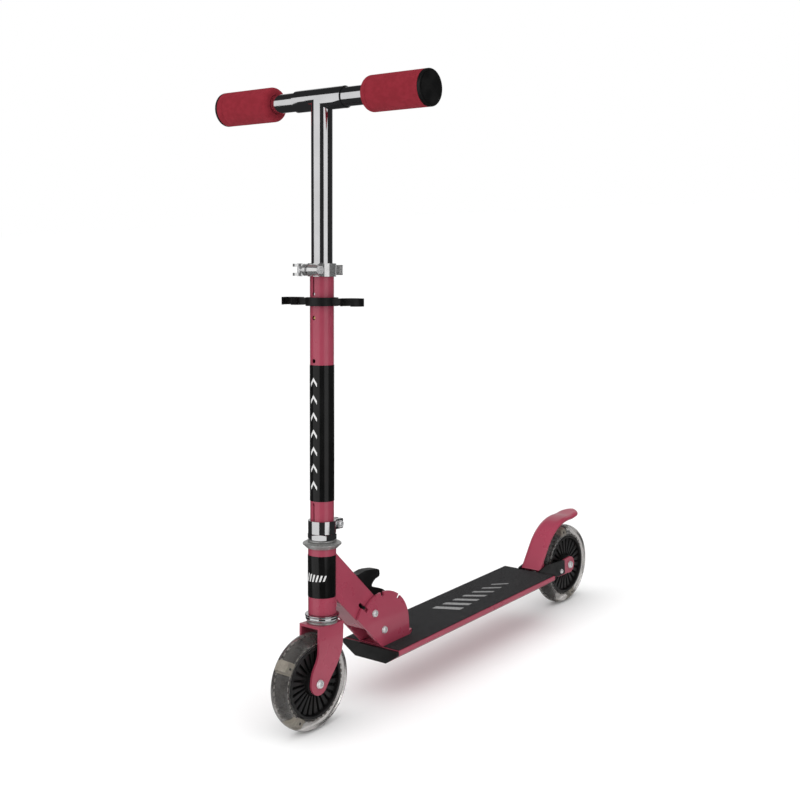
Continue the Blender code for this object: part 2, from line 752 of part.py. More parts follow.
def lock_spring():
    start = LOCK_PIN_AT + 6 + GAP + SPRING_WIRE
    end = neck_meets(LEVER_FOOT, HEAD_TUBE_RADIUS + NECK_WALL) - 2
    rise = 7.0
    lead = 0.35
    points = [(x, y + rise, z + lead * y) for x, y, z in coil(SPRING_RADIUS, SPRING_TURNS, start + 2, end)]
    part(wire(points, SPRING_WIRE, NECK), "lock_spring", STEEL)


# Fold bracket: two cheeks on a base, with notches for the lock pin in their round rim


def notch(degrees):
    """The four corners of a notch in the rim, walked counterclockwise."""
    half = NOTCH_WIDTH / 2
    direction, side = Vector(polar(1, degrees)), Vector(polar(1, degrees + 90))
    outer = math.sqrt(RIM_RADIUS**2 - half**2)
    inner = RIM_RADIUS - NOTCH_DEPTH
    corners = [(outer, -half), (inner, -half), (inner, half), (outer, half)]
    return [tuple(direction * r + side * s) for r, s in corners]


def cheek_outline():
    folded = LOCK_ANGLE - FOLD_ANGLE
    middle = LOCK_ANGLE - FOLD_ANGLE / 2
    half_notch = math.degrees(math.asin(NOTCH_WIDTH / 2 / RIM_RADIUS))
    lobe_start = LOCK_ANGLE + math.degrees(math.asin((LOCK_PIN_RADIUS + 0.5) / LOCK_PIN_AT))
    lobe_end = LOCK_ANGLE + math.degrees(math.asin(NECK_LOW / LOBE_RADIUS))
    points = [(RIM_RADIUS, BASE_BOTTOM)]
    points += arc(RIM_RADIUS, 0, folded - half_notch, 5)[:-1] + notch(folded)
    points += arc(RIM_RADIUS, folded + half_notch, middle - half_notch, 6)[1:-1] + notch(middle)
    points += arc(RIM_RADIUS, middle + half_notch, LOCK_ANGLE - half_notch, 6)[1:-1] + notch(LOCK_ANGLE)
    points += arc(LOBE_RADIUS, lobe_start, lobe_end, 4)
    tilt = math.radians(LOCK_ANGLE)
    along, out = (math.cos(tilt), math.sin(tilt)), (-math.sin(tilt), math.cos(tilt))
    down = (BASE_BOTTOM - NECK_LOW * out[1]) / along[1]
    points.append((along[0] * down + out[0] * NECK_LOW, BASE_BOTTOM))
    return points


def fold_bracket():
    body = slab(cheek_outline(), -BRACKET_OUTSIDE, BRACKET_OUTSIDE, FOLD)
    inside = BRACKET_INSIDE
    cut(body, box((-inside, -90, BASE_TOP), (inside, 90, 90), FOLD))
    tail = RIM_RADIUS + BASE_TAIL
    base = [(-BRACKET_OUTSIDE, RIM_RADIUS - 5), (-12, tail), (12, tail), (BRACKET_OUTSIDE, RIM_RADIUS - 5)]
    join(body, slab(base, BASE_BOTTOM + 0.05, BASE_TOP - 0.05, FOLD, across="Z"))
    cut(body, rod(BOLT_RADIUS + GAP, (-30, 0, 0), (30, 0, 0), FOLD, 16))
    stop = stop_place()
    cut(body, rod(STOP_BOLT_RADIUS + GAP, (-30, *stop), (30, *stop), FOLD, 16))
    for x in (-BASE_SCREW_X, BASE_SCREW_X):
        place = base_screw_place(x)
        cut(body, rod(BOLT_RADIUS / 2 + GAP, (*place, BASE_BOTTOM - 5), (*place, BASE_TOP + 5), FOLD, 16))
    part(body, "fold_bracket", RED)


def stop_place():
    return polar(STOP_RADIUS, LOCK_ANGLE - STOP_ANGLE)


def base_screw_place(x):
    return x, RIM_RADIUS + BASE_TAIL / 2


def fold_fasteners():
    face = BRACKET_OUTSIDE + GAP
    bolts = {"pivot": (BOLT_RADIUS, (0, 0)), "stop": (STOP_BOLT_RADIUS, stop_place())}
    for name, (radius, place) in bolts.items():
        body = socket_bolt(radius, BOLT_HEAD_RADIUS, BOLT_HEAD, face, -face - BOLT_NUT - 1, FOLD, place)
        part(body, name + "_bolt", STEEL)
        across = 2 * BOLT_HEAD_RADIUS + 1
        part(nut(radius + GAP, across, -face - BOLT_NUT, -face, FOLD, place), name + "_nut", STEEL)
    for name, x in (("left", BASE_SCREW_X), ("right", -BASE_SCREW_X)):
        low, high = BASE_BOTTOM - 6, BASE_TOP + GAP
        profile = [(0, high + 1.8), (2.4, high + 1.8), (3.6, high + 0.6), (3.6, high)]
        profile += [(BOLT_RADIUS / 2, high), (BOLT_RADIUS / 2, low), (0, low)]
        place = Matrix.Translation(Vector((*base_screw_place(x), 0)) * MM)
        part(turned(profile, FOLD, ring=False, sides=16, place=place), "bracket_screw_" + name, STEEL)


# Deck


def hull():
    """The deck's section, flat on top, with a short upright band and sides that slope in below."""
    top, bottom = DECK_WIDTH / 2, DECK_BOTTOM_WIDTH / 2
    half = [(top, DECK_TOP), (-top, DECK_TOP), (-top, DECK_TOP - DECK_BAND), (-bottom, DECK_BOTTOM)]
    return half + [(bottom, DECK_BOTTOM), (top, DECK_TOP - DECK_BAND)]


def deck_shell():
    body = slab(hull(), DECK_FRONT, DECK_REAR, SCOOTER, across="Y")
    cut(body, slab(inset(hull(), DECK_WALL), DECK_FRONT - 10, DECK_REAR + 10, SCOOTER, across="Y"))
    for x in (-BASE_SCREW_X, BASE_SCREW_X):
        y = base_screw_place(x)[1]
        hole = BOLT_RADIUS / 2 + GAP
        cut(body, rod(hole, (x, y, -PIVOT_ABOVE_DECK - 5), (x, y, -PIVOT_ABOVE_DECK + 2), FOLD, 16))
    part(body, "deck_shell", RED)


def grip_tape():
    """A sheet of grit tape, cut out round the bracket's base."""
    half = DECK_WIDTH / 2 - TAPE_MARGIN
    low = DECK_TOP + SKIN_GAP
    body = box((-half, DECK_FRONT + 1, low), (half, DECK_REAR - 1, low + TAPE), SCOOTER)
    side = BRACKET_OUTSIDE + 0.5
    start = RIM_RADIUS + 0.5
    tail = RIM_RADIUS + BASE_TAIL + 0.5
    base = [(-side, -60), (side, -60), (side, start), (12.5, tail), (-12.5, tail), (-side, start)]
    cut(body, slab(base, -PIVOT_ABOVE_DECK - 5, -PIVOT_ABOVE_DECK + 5, FOLD, across="Z"))
    part(body, "grip_tape", TAPE_GRIT)


def front_end_cap():
    face = DECK_FRONT - GAP
    body = slab(hull(), face - FRONT_CAP, face, SCOOTER, across="Y")
    plug = inset(hull(), DECK_WALL + GAP)
    join(body, slab(plug, face - FRONT_CAP / 2, face + CAP_PLUG, SCOOTER, across="Y"))
    part(body, "front_end_cap", BLACK)


# Rear fork, its plastic cover, and the brake


def rear_fork():
    """A U of sheet round the wheel, with a tongue that runs into the deck."""
    start = ARM_START
    outline = [(start, ARM_HALF_HEIGHT - 2), (start, -ARM_HALF_HEIGHT)]
    outline += arc(ARM_END_RADIUS, 250, 450, 14)
    body = slab(outline, -ARM_OUTSIDE, ARM_OUTSIDE, REAR)
    inside = ARM_INSIDE / 2
    cut(body, box((-inside, start + ARM_THICKNESS, -50), (inside, 50, 50), REAR))
    cut(body, rod(AXLE_RADIUS + GAP, (-40, 0, 0), (40, 0, 0), REAR, 16))
    cut(body, rod(BRAKE_PIN_RADIUS + GAP, (-40, 0, 0), (40, 0, 0), BRAKE, 16))
    screw = (-COVER_SCREW_AHEAD, -2.7)
    cut(body, rod(BOLT_RADIUS / 2 + GAP, (-40, *screw), (40, *screw), REAR, 16))
    low = DECK_BOTTOM + DECK_WALL + GAP - WHEEL_RADIUS
    tongue = box((-ARM_OUTSIDE + 1, start - 45, low), (ARM_OUTSIDE - 1, start + 1, low + SHEET), REAR)
    join(body, tongue)
    part(body, "rear_fork", RED)


def rear_cover():
    """A cap on the deck's end with a cheek along each arm."""
    low = DECK_REAR + GAP
    body = slab(hull(), low, low + CAP_WALL, SCOOTER, across="Y")
    inner = ARM_OUTSIDE + GAP
    outer = inner + CHEEK
    start = low - REAR_AXLE.y
    top, bottom = DECK_TOP - WHEEL_RADIUS + 8.5, DECK_BOTTOM - WHEEL_RADIUS + 0.5
    cheek = [(start + 0.5, bottom), (-COVER_END, bottom), (-COVER_END, 5.5), (-COVER_END - 3, 7.5)]
    cheek += [(start + 12, top), (start + 0.5, top)]
    for side in (1, -1):
        join(body, slab(cheek, *sorted((side * inner, side * outer)), REAR))
    slot = ARM_OUTSIDE - 1 + GAP
    tongue_low = DECK_BOTTOM + DECK_WALL - WHEEL_RADIUS
    tongue_high = tongue_low + SHEET + 2 * GAP
    cut(body, box((-slot, start - 5, tongue_low), (slot, start + CAP_WALL + 5, tongue_high), REAR))
    screw = (-COVER_SCREW_AHEAD, -2.7)
    cut(body, rod(BOLT_RADIUS / 2 + GAP, (-40, *screw), (40, *screw), REAR, 16))
    part(body, "rear_cover", BLACK)
    under_head = outer + GAP
    for name, side in (("left", 1), ("right", -1)):
        tip = side * (ARM_INSIDE / 2 + 0.2)
        head = socket_bolt(BOLT_RADIUS / 2, BOLT_RADIUS, 2.0, side * under_head, tip, REAR, screw)
        part(head, "cover_screw_" + name, STEEL)


def fender_stations():
    """Places along the fender's outer face, each with the way to the wheel, the half width and the
    depth of the flanges: a straight skirt, an arc over the wheel and a flicked-up round tip."""
    radius, half = WHEEL_RADIUS + FENDER_GAP + FENDER_SHEET, FENDER_WIDTH / 2
    start = Vector(polar(radius, FENDER_START))
    inwards = -Vector(polar(1, FENDER_START))
    down = Vector(polar(1, FENDER_START + 90))
    stations = [(start + FENDER_SKIRT * down, inwards, half, FENDER_LIP)]
    steps = 10
    for i in range(steps + 1):
        angle = FENDER_START + (FENDER_END - FENDER_START) * i / steps
        stations.append((Vector(polar(radius, angle)), -Vector(polar(1, angle)), half, FENDER_LIP))
    end, back = stations[-1][0], Vector(polar(1, FENDER_FLICK_ANGLE))
    inwards = Vector(polar(1, FENDER_FLICK_ANGLE - 90))
    straight = FENDER_FLICK - half
    for i in range(1, 6):
        turn = math.radians(78 * i / 5)
        run = straight + half * math.sin(turn)
        lip = FENDER_LIP - (FENDER_LIP - 1.8) * i / 5
        stations.append((end + run * back, inwards, half * math.cos(turn), lip))
    return stations


def channel(half, lip):
    """Half a channel's section and its mirror, as (across, depth), with a small bend at each edge."""
    bend = 1.5
    side = [(half, lip), (half, bend), (half - bend, 0)]
    return side + [(-x, depth) for x, depth in reversed(side)]


def brake_fender():
    """A pressed channel over the wheel, with two ears for its pin."""
    stations = fender_stations()
    rows, columns = len(stations) - 1, 5
    bm = bmesh.new()
    bmesh.ops.create_grid(bm, x_segments=columns, y_segments=rows, size=1)
    for vert in bm.verts:
        column, row = round((vert.co.x + 1) / 2 * columns), round((vert.co.y + 1) / 2 * rows)
        place, inwards, half, lip = stations[row]
        across, depth = channel(half, lip)[column]
        vert.co = Vector((across, *(place + inwards * depth))) * MM
    body = from_bmesh(bm, REAR)
    sheet = body.modifiers.new("Sheet", "SOLIDIFY")
    sheet.thickness = FENDER_SHEET * MM
    sheet.offset = 1
    bend = Vector(polar(WHEEL_RADIUS + FENDER_GAP + FENDER_SHEET / 2, FENDER_START)) - BRAKE_PIN.yz
    down = Vector(polar(1, FENDER_START + 90))
    ear = arc(BRAKE_EAR_RADIUS, 190, 350, 8) + [tuple(bend + 12 * down), tuple(bend + 27 * down)]
    for side in (1, -1):
        join(body, slab(ear, *sorted((side * 6.0, side * 12.6)), BRAKE))
    cut(body, rod(BRAKE_PIN_RADIUS + GAP, (-20, 0, 0), (20, 0, 0), BRAKE, 16))
    part(body, "brake_fender", RED)


def brake_pin_and_spring():
    reach = ARM_OUTSIDE - 0.2
    part(rod(BRAKE_PIN_RADIUS, (-reach, 0, 0), (reach, 0, 0), BRAKE, 16), "brake_pin", STEEL)
    turns, steps = 4, 8
    radius = BRAKE_PIN_RADIUS + GAP + 1.0
    points = [(-4.2, -5.5, -4.5)]
    for i in range(turns * steps + 1):
        angle = math.tau * i / steps - math.pi / 2
        points.append((-4.2 + 8.4 * i / (turns * steps), radius * math.cos(angle), radius * math.sin(angle)))
    points.append((4.2, 5.5, -4.5))
    part(wire(points, SPRING_WIRE, BRAKE), "brake_spring", STEEL)


# Lower tube, its sticker and clamps, and the clip for the loose handles


def lower_tube():
    """The painted tube that joins steerer and stem, slit at both ends so that its clamps can grip."""
    profile = [(TUBE_RADIUS, TUBE_TOP), (TUBE_RADIUS, TUBE_BOTTOM), (TUBE_BORE, TUBE_BOTTOM), (TUBE_BORE, TUBE_TOP)]
    body = turned(profile, COLUMN)
    forward, middle = -TUBE_RADIUS - 5, -TUBE_RADIUS / 2
    half = SLIT / 2
    low, high = TUBE_BOTTOM + LOWER_SLIT, TUBE_TOP - UPPER_SLIT
    cut(body, box((-half, forward, TUBE_BOTTOM - 5), (half, middle, low), COLUMN))
    cut(body, box((-half, forward, high), (half, middle, TUBE_TOP + 5), COLUMN))
    holes = {low: SLIT_HOLE, high: SLIT_HOLE}
    holes.update({BUTTON_HEIGHT: BUTTON_RADIUS + GAP, BUTTON_HEIGHT - BUTTON_PITCH: BUTTON_RADIUS + GAP})
    for height, radius in holes.items():
        cut(body, rod(radius, (0, forward, height), (0, middle, height), COLUMN, 20))
    part(body, "lower_tube", RED)


def column_sticker():
    low, high = STICKER_BOTTOM, BUTTON_HEIGHT - BUTTON_PITCH - STICKER_MARGIN
    inner = TUBE_RADIUS + SKIN_GAP
    profile = [(inner + STICKER, high), (inner + STICKER, low), (inner, low), (inner, high)]
    part(turned(profile, COLUMN), "column_sticker", STICKER_FILM)


def lower_clamp():
    """A plain band clamp with its ears and bolt at the rear."""
    low, high = LOWER_CLAMP, LOWER_CLAMP + CLAMP_HEIGHT
    body = rod(CLAMP_RADIUS, (0, 0, low), (0, 0, high), COLUMN, 24)
    ear_half, ear_end = 6.8, CLAMP_RADIUS + 14.1
    join(body, box((-ear_half, CLAMP_BORE, low + 1.5), (ear_half, ear_end, high - 1.5), COLUMN))
    cut(body, rod(CLAMP_BORE, (0, 0, low - 5), (0, 0, high + 5), COLUMN, 24))
    half = CLAMP_GAP / 2
    cut(body, box((-half, 5, low - 5), (half, ear_end + 5, high + 5), COLUMN))
    centre = (CLAMP_RADIUS + 7.1, (low + high) / 2)
    cut(body, rod(STOP_BOLT_RADIUS + GAP, (-20, *centre), (20, *centre), COLUMN, 20))
    part(body, "lower_clamp", CHROME)
    face = ear_half + GAP
    bolt = socket_bolt(STOP_BOLT_RADIUS, 4.9, 4.0, face, -face - 5, COLUMN, centre)
    part(bolt, "lower_clamp_bolt", STEEL)
    part(nut(STOP_BOLT_RADIUS + GAP, 10.0, -face - 4.2, -face, COLUMN, centre), "lower_clamp_nut", STEEL)


def handle_holder():
    """A plastic clip on the tube, with an open ring each side for a handle that is taken off."""
    high = TUBE_TOP - HOLDER_DROP
    low = high - HOLDER_HEIGHT
    reach = CLIP_SPACING / 2
    body = rod(HOLDER_RADIUS, (0, 0, low), (0, 0, high), COLUMN, 24)
    join(body, box((-reach, -3.5, low + 0.8), (reach, 3.5, high - 0.8), COLUMN))
    for x in (-reach, reach):
        join(body, rod(CLIP_RADIUS, (x, 0, low + 0.4), (x, 0, high - 0.4), COLUMN, 20))
    cut(body, rod(CLAMP_BORE, (0, 0, low - 5), (0, 0, high + 5), COLUMN, 24))
    half = CLIP_MOUTH / 2
    for x in (-reach, reach):
        cut(body, rod(CLIP_BORE, (x, 0, low - 5), (x, 0, high + 5), COLUMN, 20))
        cut(body, box((x - half, -30, low - 5), (x + half, 0, high + 5), COLUMN))
    part(body, "handle_holder", BLACK)


def upper_clamp():
    """The quick-release clamp: a ring with a gap in front, a long boss on one side of it and a short
    ear on the other, drawn together by a bolt with a cross pin."""
    low, high = UPPER_CLAMP, UPPER_CLAMP + CLAMP_HEIGHT
    middle = (low + high) / 2
    line = (-QR_FORWARD, middle)
    half = CLAMP_GAP / 2
    body = rod(CLAMP_RADIUS, (0, 0, low), (0, 0, high), COLUMN, 24)
    join(body, rod(QR_BOSS_RADIUS + 0.6, (0, *line), (half + QR_BOSS_LENGTH, *line), COLUMN, 24, QR_BOSS_RADIUS - 0.6))
    join(body, rod(QR_BOSS_RADIUS + 0.8, (-half - QR_EAR, *line), (0.5, *line), COLUMN, 24))
    root = (-half - QR_EAR + 0.4, -QR_FORWARD, low + 1), (half + QR_BOSS_LENGTH - 4, -10, high - 1)
    join(body, box(*root, COLUMN))
    cut(body, rod(CLAMP_BORE, (0, 0, low - 5), (0, 0, high + 5), COLUMN, 24))
    cut(body, box((-half, -QR_FORWARD - 20, low - 5), (half, -5, high + 5), COLUMN))
    cut(body, rod(QR_BOLT_RADIUS + GAP, (-40, *line), (40, *line), COLUMN, 24))
    part(body, "upper_clamp", CHROME)
    face = half + QR_BOSS_LENGTH + GAP
    bolt = rod(QR_BOLT_RADIUS, (-QR_PIN_X, *line), (face + 4, *line), COLUMN, 24)
    pin = 3.0
    join(bolt, rod(pin, (-QR_PIN_X, -QR_FORWARD, low + 0.2), (-QR_PIN_X, -QR_FORWARD, high - 0.2), COLUMN, 24))
    part(bolt, "clamp_bolt", STEEL)
    part(nut(QR_BOLT_RADIUS + GAP, 9.0, face, face + 3.5, COLUMN, line), "clamp_nut", STEEL)
    clamp_lever(low, high, pin)


def lever_path(head):
    """The arm's middle line, from the cam head round the side of the clamp."""
    side = -CLAMP_RADIUS
    start = (head[0] - 6.3, head[1] + 5.5)
    middle = [(side - 7.3, -6.0), (side - 7.7, 4.0), (side - 5.9, 15.0)]
    return [start] + middle + [(side - 1.1, 27.0), (side + 7.9, 39.0), (side + 11.4, 42.5)]


def clamp_lever(low, high, pin):
    """A forked cam head on the cross pin, and an arm that lies round the side of the clamp."""
    middle = (low + high) / 2
    head = (-QR_PIN_X, -QR_FORWARD)
    half = QR_ARM_HEIGHT / 2
    body = rod(QR_HEAD_RADIUS, (*head, middle - half - 1), (*head, middle + half + 1), COLUMN, 24)
    outer, inner = [], []
    path = [Vector(p) for p in smooth(lever_path(head))]
    for i, here in enumerate(path):
        along = (path[min(i + 1, len(path) - 1)] - path[max(i - 1, 0)]).normalized()
        side = Vector((-along.y, along.x)) * QR_ARM / 2
        outer.append(tuple(here + side))
        inner.append(tuple(here - side))
    join(body, slab(outer + inner[::-1], middle - half, middle + half, COLUMN, across="Z"))
    cut(body, rod(QR_HEAD_RADIUS + 0.9, (*head, middle - 3.6), (*head, middle + 3.6), COLUMN, 24))
    cut(body, rod(pin + GAP, (*head, low - 5), (*head, high + 5), COLUMN, 24))
    part(body, "clamp_lever", CHROME)


# Stem, its snap button, and the two loose handles


def stem_tee():
    """The chromed stem with the cross sleeve that the handles push into."""
    body = rod(STEM_RADIUS, (0, 0, STEM_BOTTOM), (0, 0, BAR_HEIGHT), COLUMN, 24)
    half = TEE_LENGTH / 2
    join(body, rod(STEM_RADIUS + 0.02, (-half, 0, BAR_HEIGHT), (half, 0, BAR_HEIGHT), COLUMN, 24))
    cut(body, rod(TEE_BORE, (-half - 5, 0, BAR_HEIGHT), (half + 5, 0, BAR_HEIGHT), COLUMN, 24))
    bore = STEM_RADIUS - STEM_WALL
    cut(body, rod(bore, (0, 0, STEM_BOTTOM - 5), (0, 0, BAR_HEIGHT - STEM_RADIUS - 3), COLUMN, 24))
    hole = BUTTON_RADIUS + GAP
    cut(body, rod(hole, (0, -STEM_RADIUS - 5, BUTTON_HEIGHT), (0, -STEM_RADIUS / 2, BUTTON_HEIGHT), COLUMN, 20))
    for x in (-BAR_BUTTON_X, BAR_BUTTON_X):
        cut(body, rod(hole, (x, STEM_RADIUS / 2, BAR_HEIGHT), (x, STEM_RADIUS + 5, BAR_HEIGHT), COLUMN, 20))
    part(body, "stem_tee", CHROME)


def snap_button(name, start, out, tip, leaf):
    """A domed button that faces out from the column, on a short spring leaf."""
    x, z = start
    inner = tip - 4.5
    dome = 0.9
    body = rod(BUTTON_RADIUS, (x, out * inner, z), (x, out * (tip - dome), z), COLUMN, 20)
    join(body, rod(BUTTON_RADIUS, (x, out * (tip - dome - 0.1), z), (x, out * tip, z), COLUMN, 20, BUTTON_RADIUS - 0.7))
    wide = 3.2
    low, high = sorted((out * (inner - 0.7), out * (inner + 0.5)))
    length = Vector(leaf)
    a = Vector((x - wide, low, z - wide))
    b = Vector((x + wide, high, z + wide))
    a += Vector((min(length.x, 0), 0, min(length.y, 0)))
    b += Vector((max(length.x, 0), 0, max(length.y, 0)))
    join(body, box(a, b, COLUMN))
    part(body, name, BRASS)


def handle(name, side):
    """A chromed bar, its foam grip and its end cap, for one side."""
    reach = HANDLEBAR_WIDTH / 2
    inner_end, outer_end = 3.0, reach - END_CAP - GAP
    bore = BAR_RADIUS - BAR_WALL
    turn = Matrix.Rotation(math.radians(180), 4, "Z") if side < 0 else Matrix()
    place = Matrix.Translation((0, 0, BAR_HEIGHT * MM)) @ turn
    profile = [(BAR_RADIUS, outer_end), (BAR_RADIUS, inner_end), (bore, inner_end), (bore, outer_end)]
    body = turned(profile, COLUMN, along="X", sides=24, place=place)
    x = side * BAR_BUTTON_X
    hole = BUTTON_RADIUS + GAP
    cut(body, rod(hole, (x, 4, BAR_HEIGHT), (x, BAR_RADIUS + 5, BAR_HEIGHT), COLUMN, 20))
    part(body, name + "_bar", CHROME)
    start = outer_end - GRIP_LENGTH
    end = arc(GRIP_ROUND, 90, 0, 3, (0, 0))
    rounding = [(GRIP_RADIUS - GRIP_ROUND + b, start + GRIP_ROUND - a) for a, b in end]
    grip_bore = BAR_RADIUS + GAP
    profile = [(GRIP_RADIUS, outer_end)] + rounding + [(grip_bore, start), (grip_bore, outer_end)]
    part(turned(profile, COLUMN, along="X", sides=24, place=place), name + "_grip", FOAM)
    plug = bore - GAP
    face = outer_end + GAP
    cap = [(0, reach), (GRIP_RADIUS - 1, reach), (GRIP_RADIUS, reach - 1), (GRIP_RADIUS, face)]
    cap += [(plug, face), (plug, face - END_CAP_PLUG), (0, face - END_CAP_PLUG)]
    part(turned(cap, COLUMN, along="X", ring=False, sides=24, place=place), name + "_end_cap", BLACK)
    snap_button(name + "_bar_button", (x, BAR_HEIGHT), 1, TEE_BORE - GAP, (side * 14, 0))


fork()
headset()
neck_frame()
head_band()
lock_slider()
lock_pin()
lock_spring()
fold_bracket()
fold_fasteners()
deck_shell()
grip_tape()
front_end_cap()
rear_fork()
rear_cover()
brake_fender()
brake_pin_and_spring()
lower_tube()
column_sticker()
lower_clamp()
handle_holder()
upper_clamp()
stem_tee()
snap_button("height_button", (0, BUTTON_HEIGHT), -1, TUBE_BORE - GAP, (0, 22))
handle("left", 1)
handle("right", -1)
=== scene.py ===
# %% [markdown]
# # A child's folding kick scooter
#
# The imported CAD model is the frame: it says where every piece is and what moves with what. This
# notebook adds what the eye wants on top of it: rounded edges, smooth tubes, moulded ribs, pressed
# sheet, and a procedural finish for every surface. It starts by loading the frame.

# %% Load the frame
import json
import math

import bmesh
import bpy
from mathutils import Matrix, Vector

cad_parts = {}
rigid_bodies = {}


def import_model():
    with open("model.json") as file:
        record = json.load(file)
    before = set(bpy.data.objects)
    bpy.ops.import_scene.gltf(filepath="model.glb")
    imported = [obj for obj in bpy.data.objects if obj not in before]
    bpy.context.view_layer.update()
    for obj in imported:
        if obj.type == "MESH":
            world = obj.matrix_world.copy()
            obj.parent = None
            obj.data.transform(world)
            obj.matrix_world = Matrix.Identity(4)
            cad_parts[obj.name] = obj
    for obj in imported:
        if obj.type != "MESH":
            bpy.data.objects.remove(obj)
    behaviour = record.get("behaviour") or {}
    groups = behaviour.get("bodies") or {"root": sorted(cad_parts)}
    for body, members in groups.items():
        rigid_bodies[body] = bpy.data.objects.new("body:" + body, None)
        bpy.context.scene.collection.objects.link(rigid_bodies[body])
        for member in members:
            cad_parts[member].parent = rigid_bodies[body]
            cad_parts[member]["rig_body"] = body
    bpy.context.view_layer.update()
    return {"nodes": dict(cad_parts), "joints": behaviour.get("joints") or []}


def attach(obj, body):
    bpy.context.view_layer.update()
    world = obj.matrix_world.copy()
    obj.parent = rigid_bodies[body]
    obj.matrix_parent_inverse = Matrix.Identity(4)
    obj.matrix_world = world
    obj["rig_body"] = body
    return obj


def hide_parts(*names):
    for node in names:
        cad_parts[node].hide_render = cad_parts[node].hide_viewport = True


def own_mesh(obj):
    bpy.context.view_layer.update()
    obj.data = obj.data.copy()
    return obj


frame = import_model()
JOINTS = {joint["name"]: joint for joint in frame["joints"]}

# %% [markdown]
# ## Camera
#
# A long lens from the front left, a little above the deck, shows both wheels, the deck and the whole
# column at once. Two angles and a small tilt set the camera, because those are easy to change by
# hand.

# %% Camera
AZIMUTH, ELEVATION, TILT = (math.radians(v) for v in (40.09, 9.52, -2.67))
CAMERA_AT = (1.0169, -1.29491, 0.63887)
FOCAL_LENGTH, SENSOR_WIDTH = 56.13, 36
backward = Vector((
    math.sin(AZIMUTH) * math.cos(ELEVATION),
    -math.cos(AZIMUTH) * math.cos(ELEVATION),
    math.sin(ELEVATION),
))
level = Vector((math.cos(AZIMUTH), math.sin(AZIMUTH), 0))
upward = backward.cross(level)
right = level * math.cos(TILT) + upward * math.sin(TILT)
lens = bpy.data.cameras.new("camera")
lens.lens, lens.sensor_width = FOCAL_LENGTH, SENSOR_WIDTH
camera = bpy.data.objects.new("camera", lens)
bpy.context.scene.collection.objects.link(camera)
turn = Matrix((right, backward.cross(right), backward)).transposed()
camera.matrix_world = Matrix.Translation(CAMERA_AT) @ turn.to_4x4()
bpy.context.scene.camera = camera
bpy.context.scene.view_settings.view_transform = "Standard"
print("camera distance from the middle, metres:", round(camera.location.length, 3))

# %% [markdown]
# ## Local axes
#
# A steering column leans and a folding neck leans more, so drawing their pieces in world axes is
# awkward. Each gets its own axes, in millimetres: Z runs along the tube and Y to the rear. The
# joints of the frame already hold these lines, so the axes come from them.

# %% Axes of the column, the neck, the wheels and the brake
MM = 0.001


def axes(joint, along=None):
    """A frame in millimetres at a joint. Its Z runs along the axis of a joint, or straight up."""
    up = Vector(JOINTS[along]["axis"]).normalized() if along else Vector((0, 0, 1))
    if up.z < 0:
        up.negate()
    across = Vector((1, 0, 0))
    turn = Matrix((across, up.cross(across), up)).transposed().to_4x4()
    return Matrix.Translation(JOINTS[joint]["pos_m"]) @ turn @ Matrix.Scale(MM, 4)


COLUMN = axes("steer", "steer")
NECK = axes("fold", "lock_pull")
FOLD = axes("fold")
BRAKE = axes("brake_press")
WHEELS = {"front": axes("front_roll"), "rear": axes("rear_roll")}


def span(node, place):
    """The lowest and highest corner of a CAD node in a local frame, in millimetres."""
    back = place.inverted()
    points = [back @ vert.co for vert in frame["nodes"][node].data.vertices]
    return [Vector(pick(values) for values in zip(*points)) for pick in (min, max)]


def show(node, place):
    print(node, *[tuple(round(v, 2) for v in corner) for corner in span(node, place)])


for node in ("fork", "lower_tube", "stem_tee"):
    show(node, COLUMN)

# %% [markdown]
# ## Finishes
#
# Real finishes are never one flat colour. Paint has a faint orange peel and drifts a little in tone,
# chrome carries wiping marks, and foam and grit are all grain. One recipe serves them all: a slow
# noise moves the colour and the gloss between two values each, and a fine noise raises the surface.
# The noise reads object coordinates in metres, so it stays with the piece wherever it goes.

# %% The recipe for a finish
FINISHES = {}
NOISE_RANGE = (0.35, 0.65)  # most of a noise's values lie between these
FINER_GLOSS = 2.3  # the gloss varies this much faster than the colour


def pattern(tree, scale, kind="Noise", detail=3.0):
    """A noise or a cell pattern that repeats about scale times a metre."""
    texture = tree.nodes.new("ShaderNodeTex" + kind)
    texture.inputs["Scale"].default_value = scale
    texture.inputs["Detail"].default_value = detail
    coordinates = tree.nodes.get("Texture Coordinate") or tree.nodes.new("ShaderNodeTexCoord")
    tree.links.new(coordinates.outputs["Object"], texture.inputs["Vector"])
    return texture.outputs["Fac" if kind == "Noise" else "Distance"]


def ramp(tree, value, colours, start=0.38, end=0.62):
    """A colour that runs through a list of colours as a value rises."""
    made = tree.nodes.new("ShaderNodeValToRGB")
    elements = made.color_ramp.elements
    while len(elements) < len(colours):
        elements.new(0.5)
    for i, colour in enumerate(colours):
        elements[i].position = start + (end - start) * i / (len(colours) - 1)
        elements[i].color = (*colour, 1)
    tree.links.new(value, made.inputs["Fac"])
    return made.outputs["Color"]


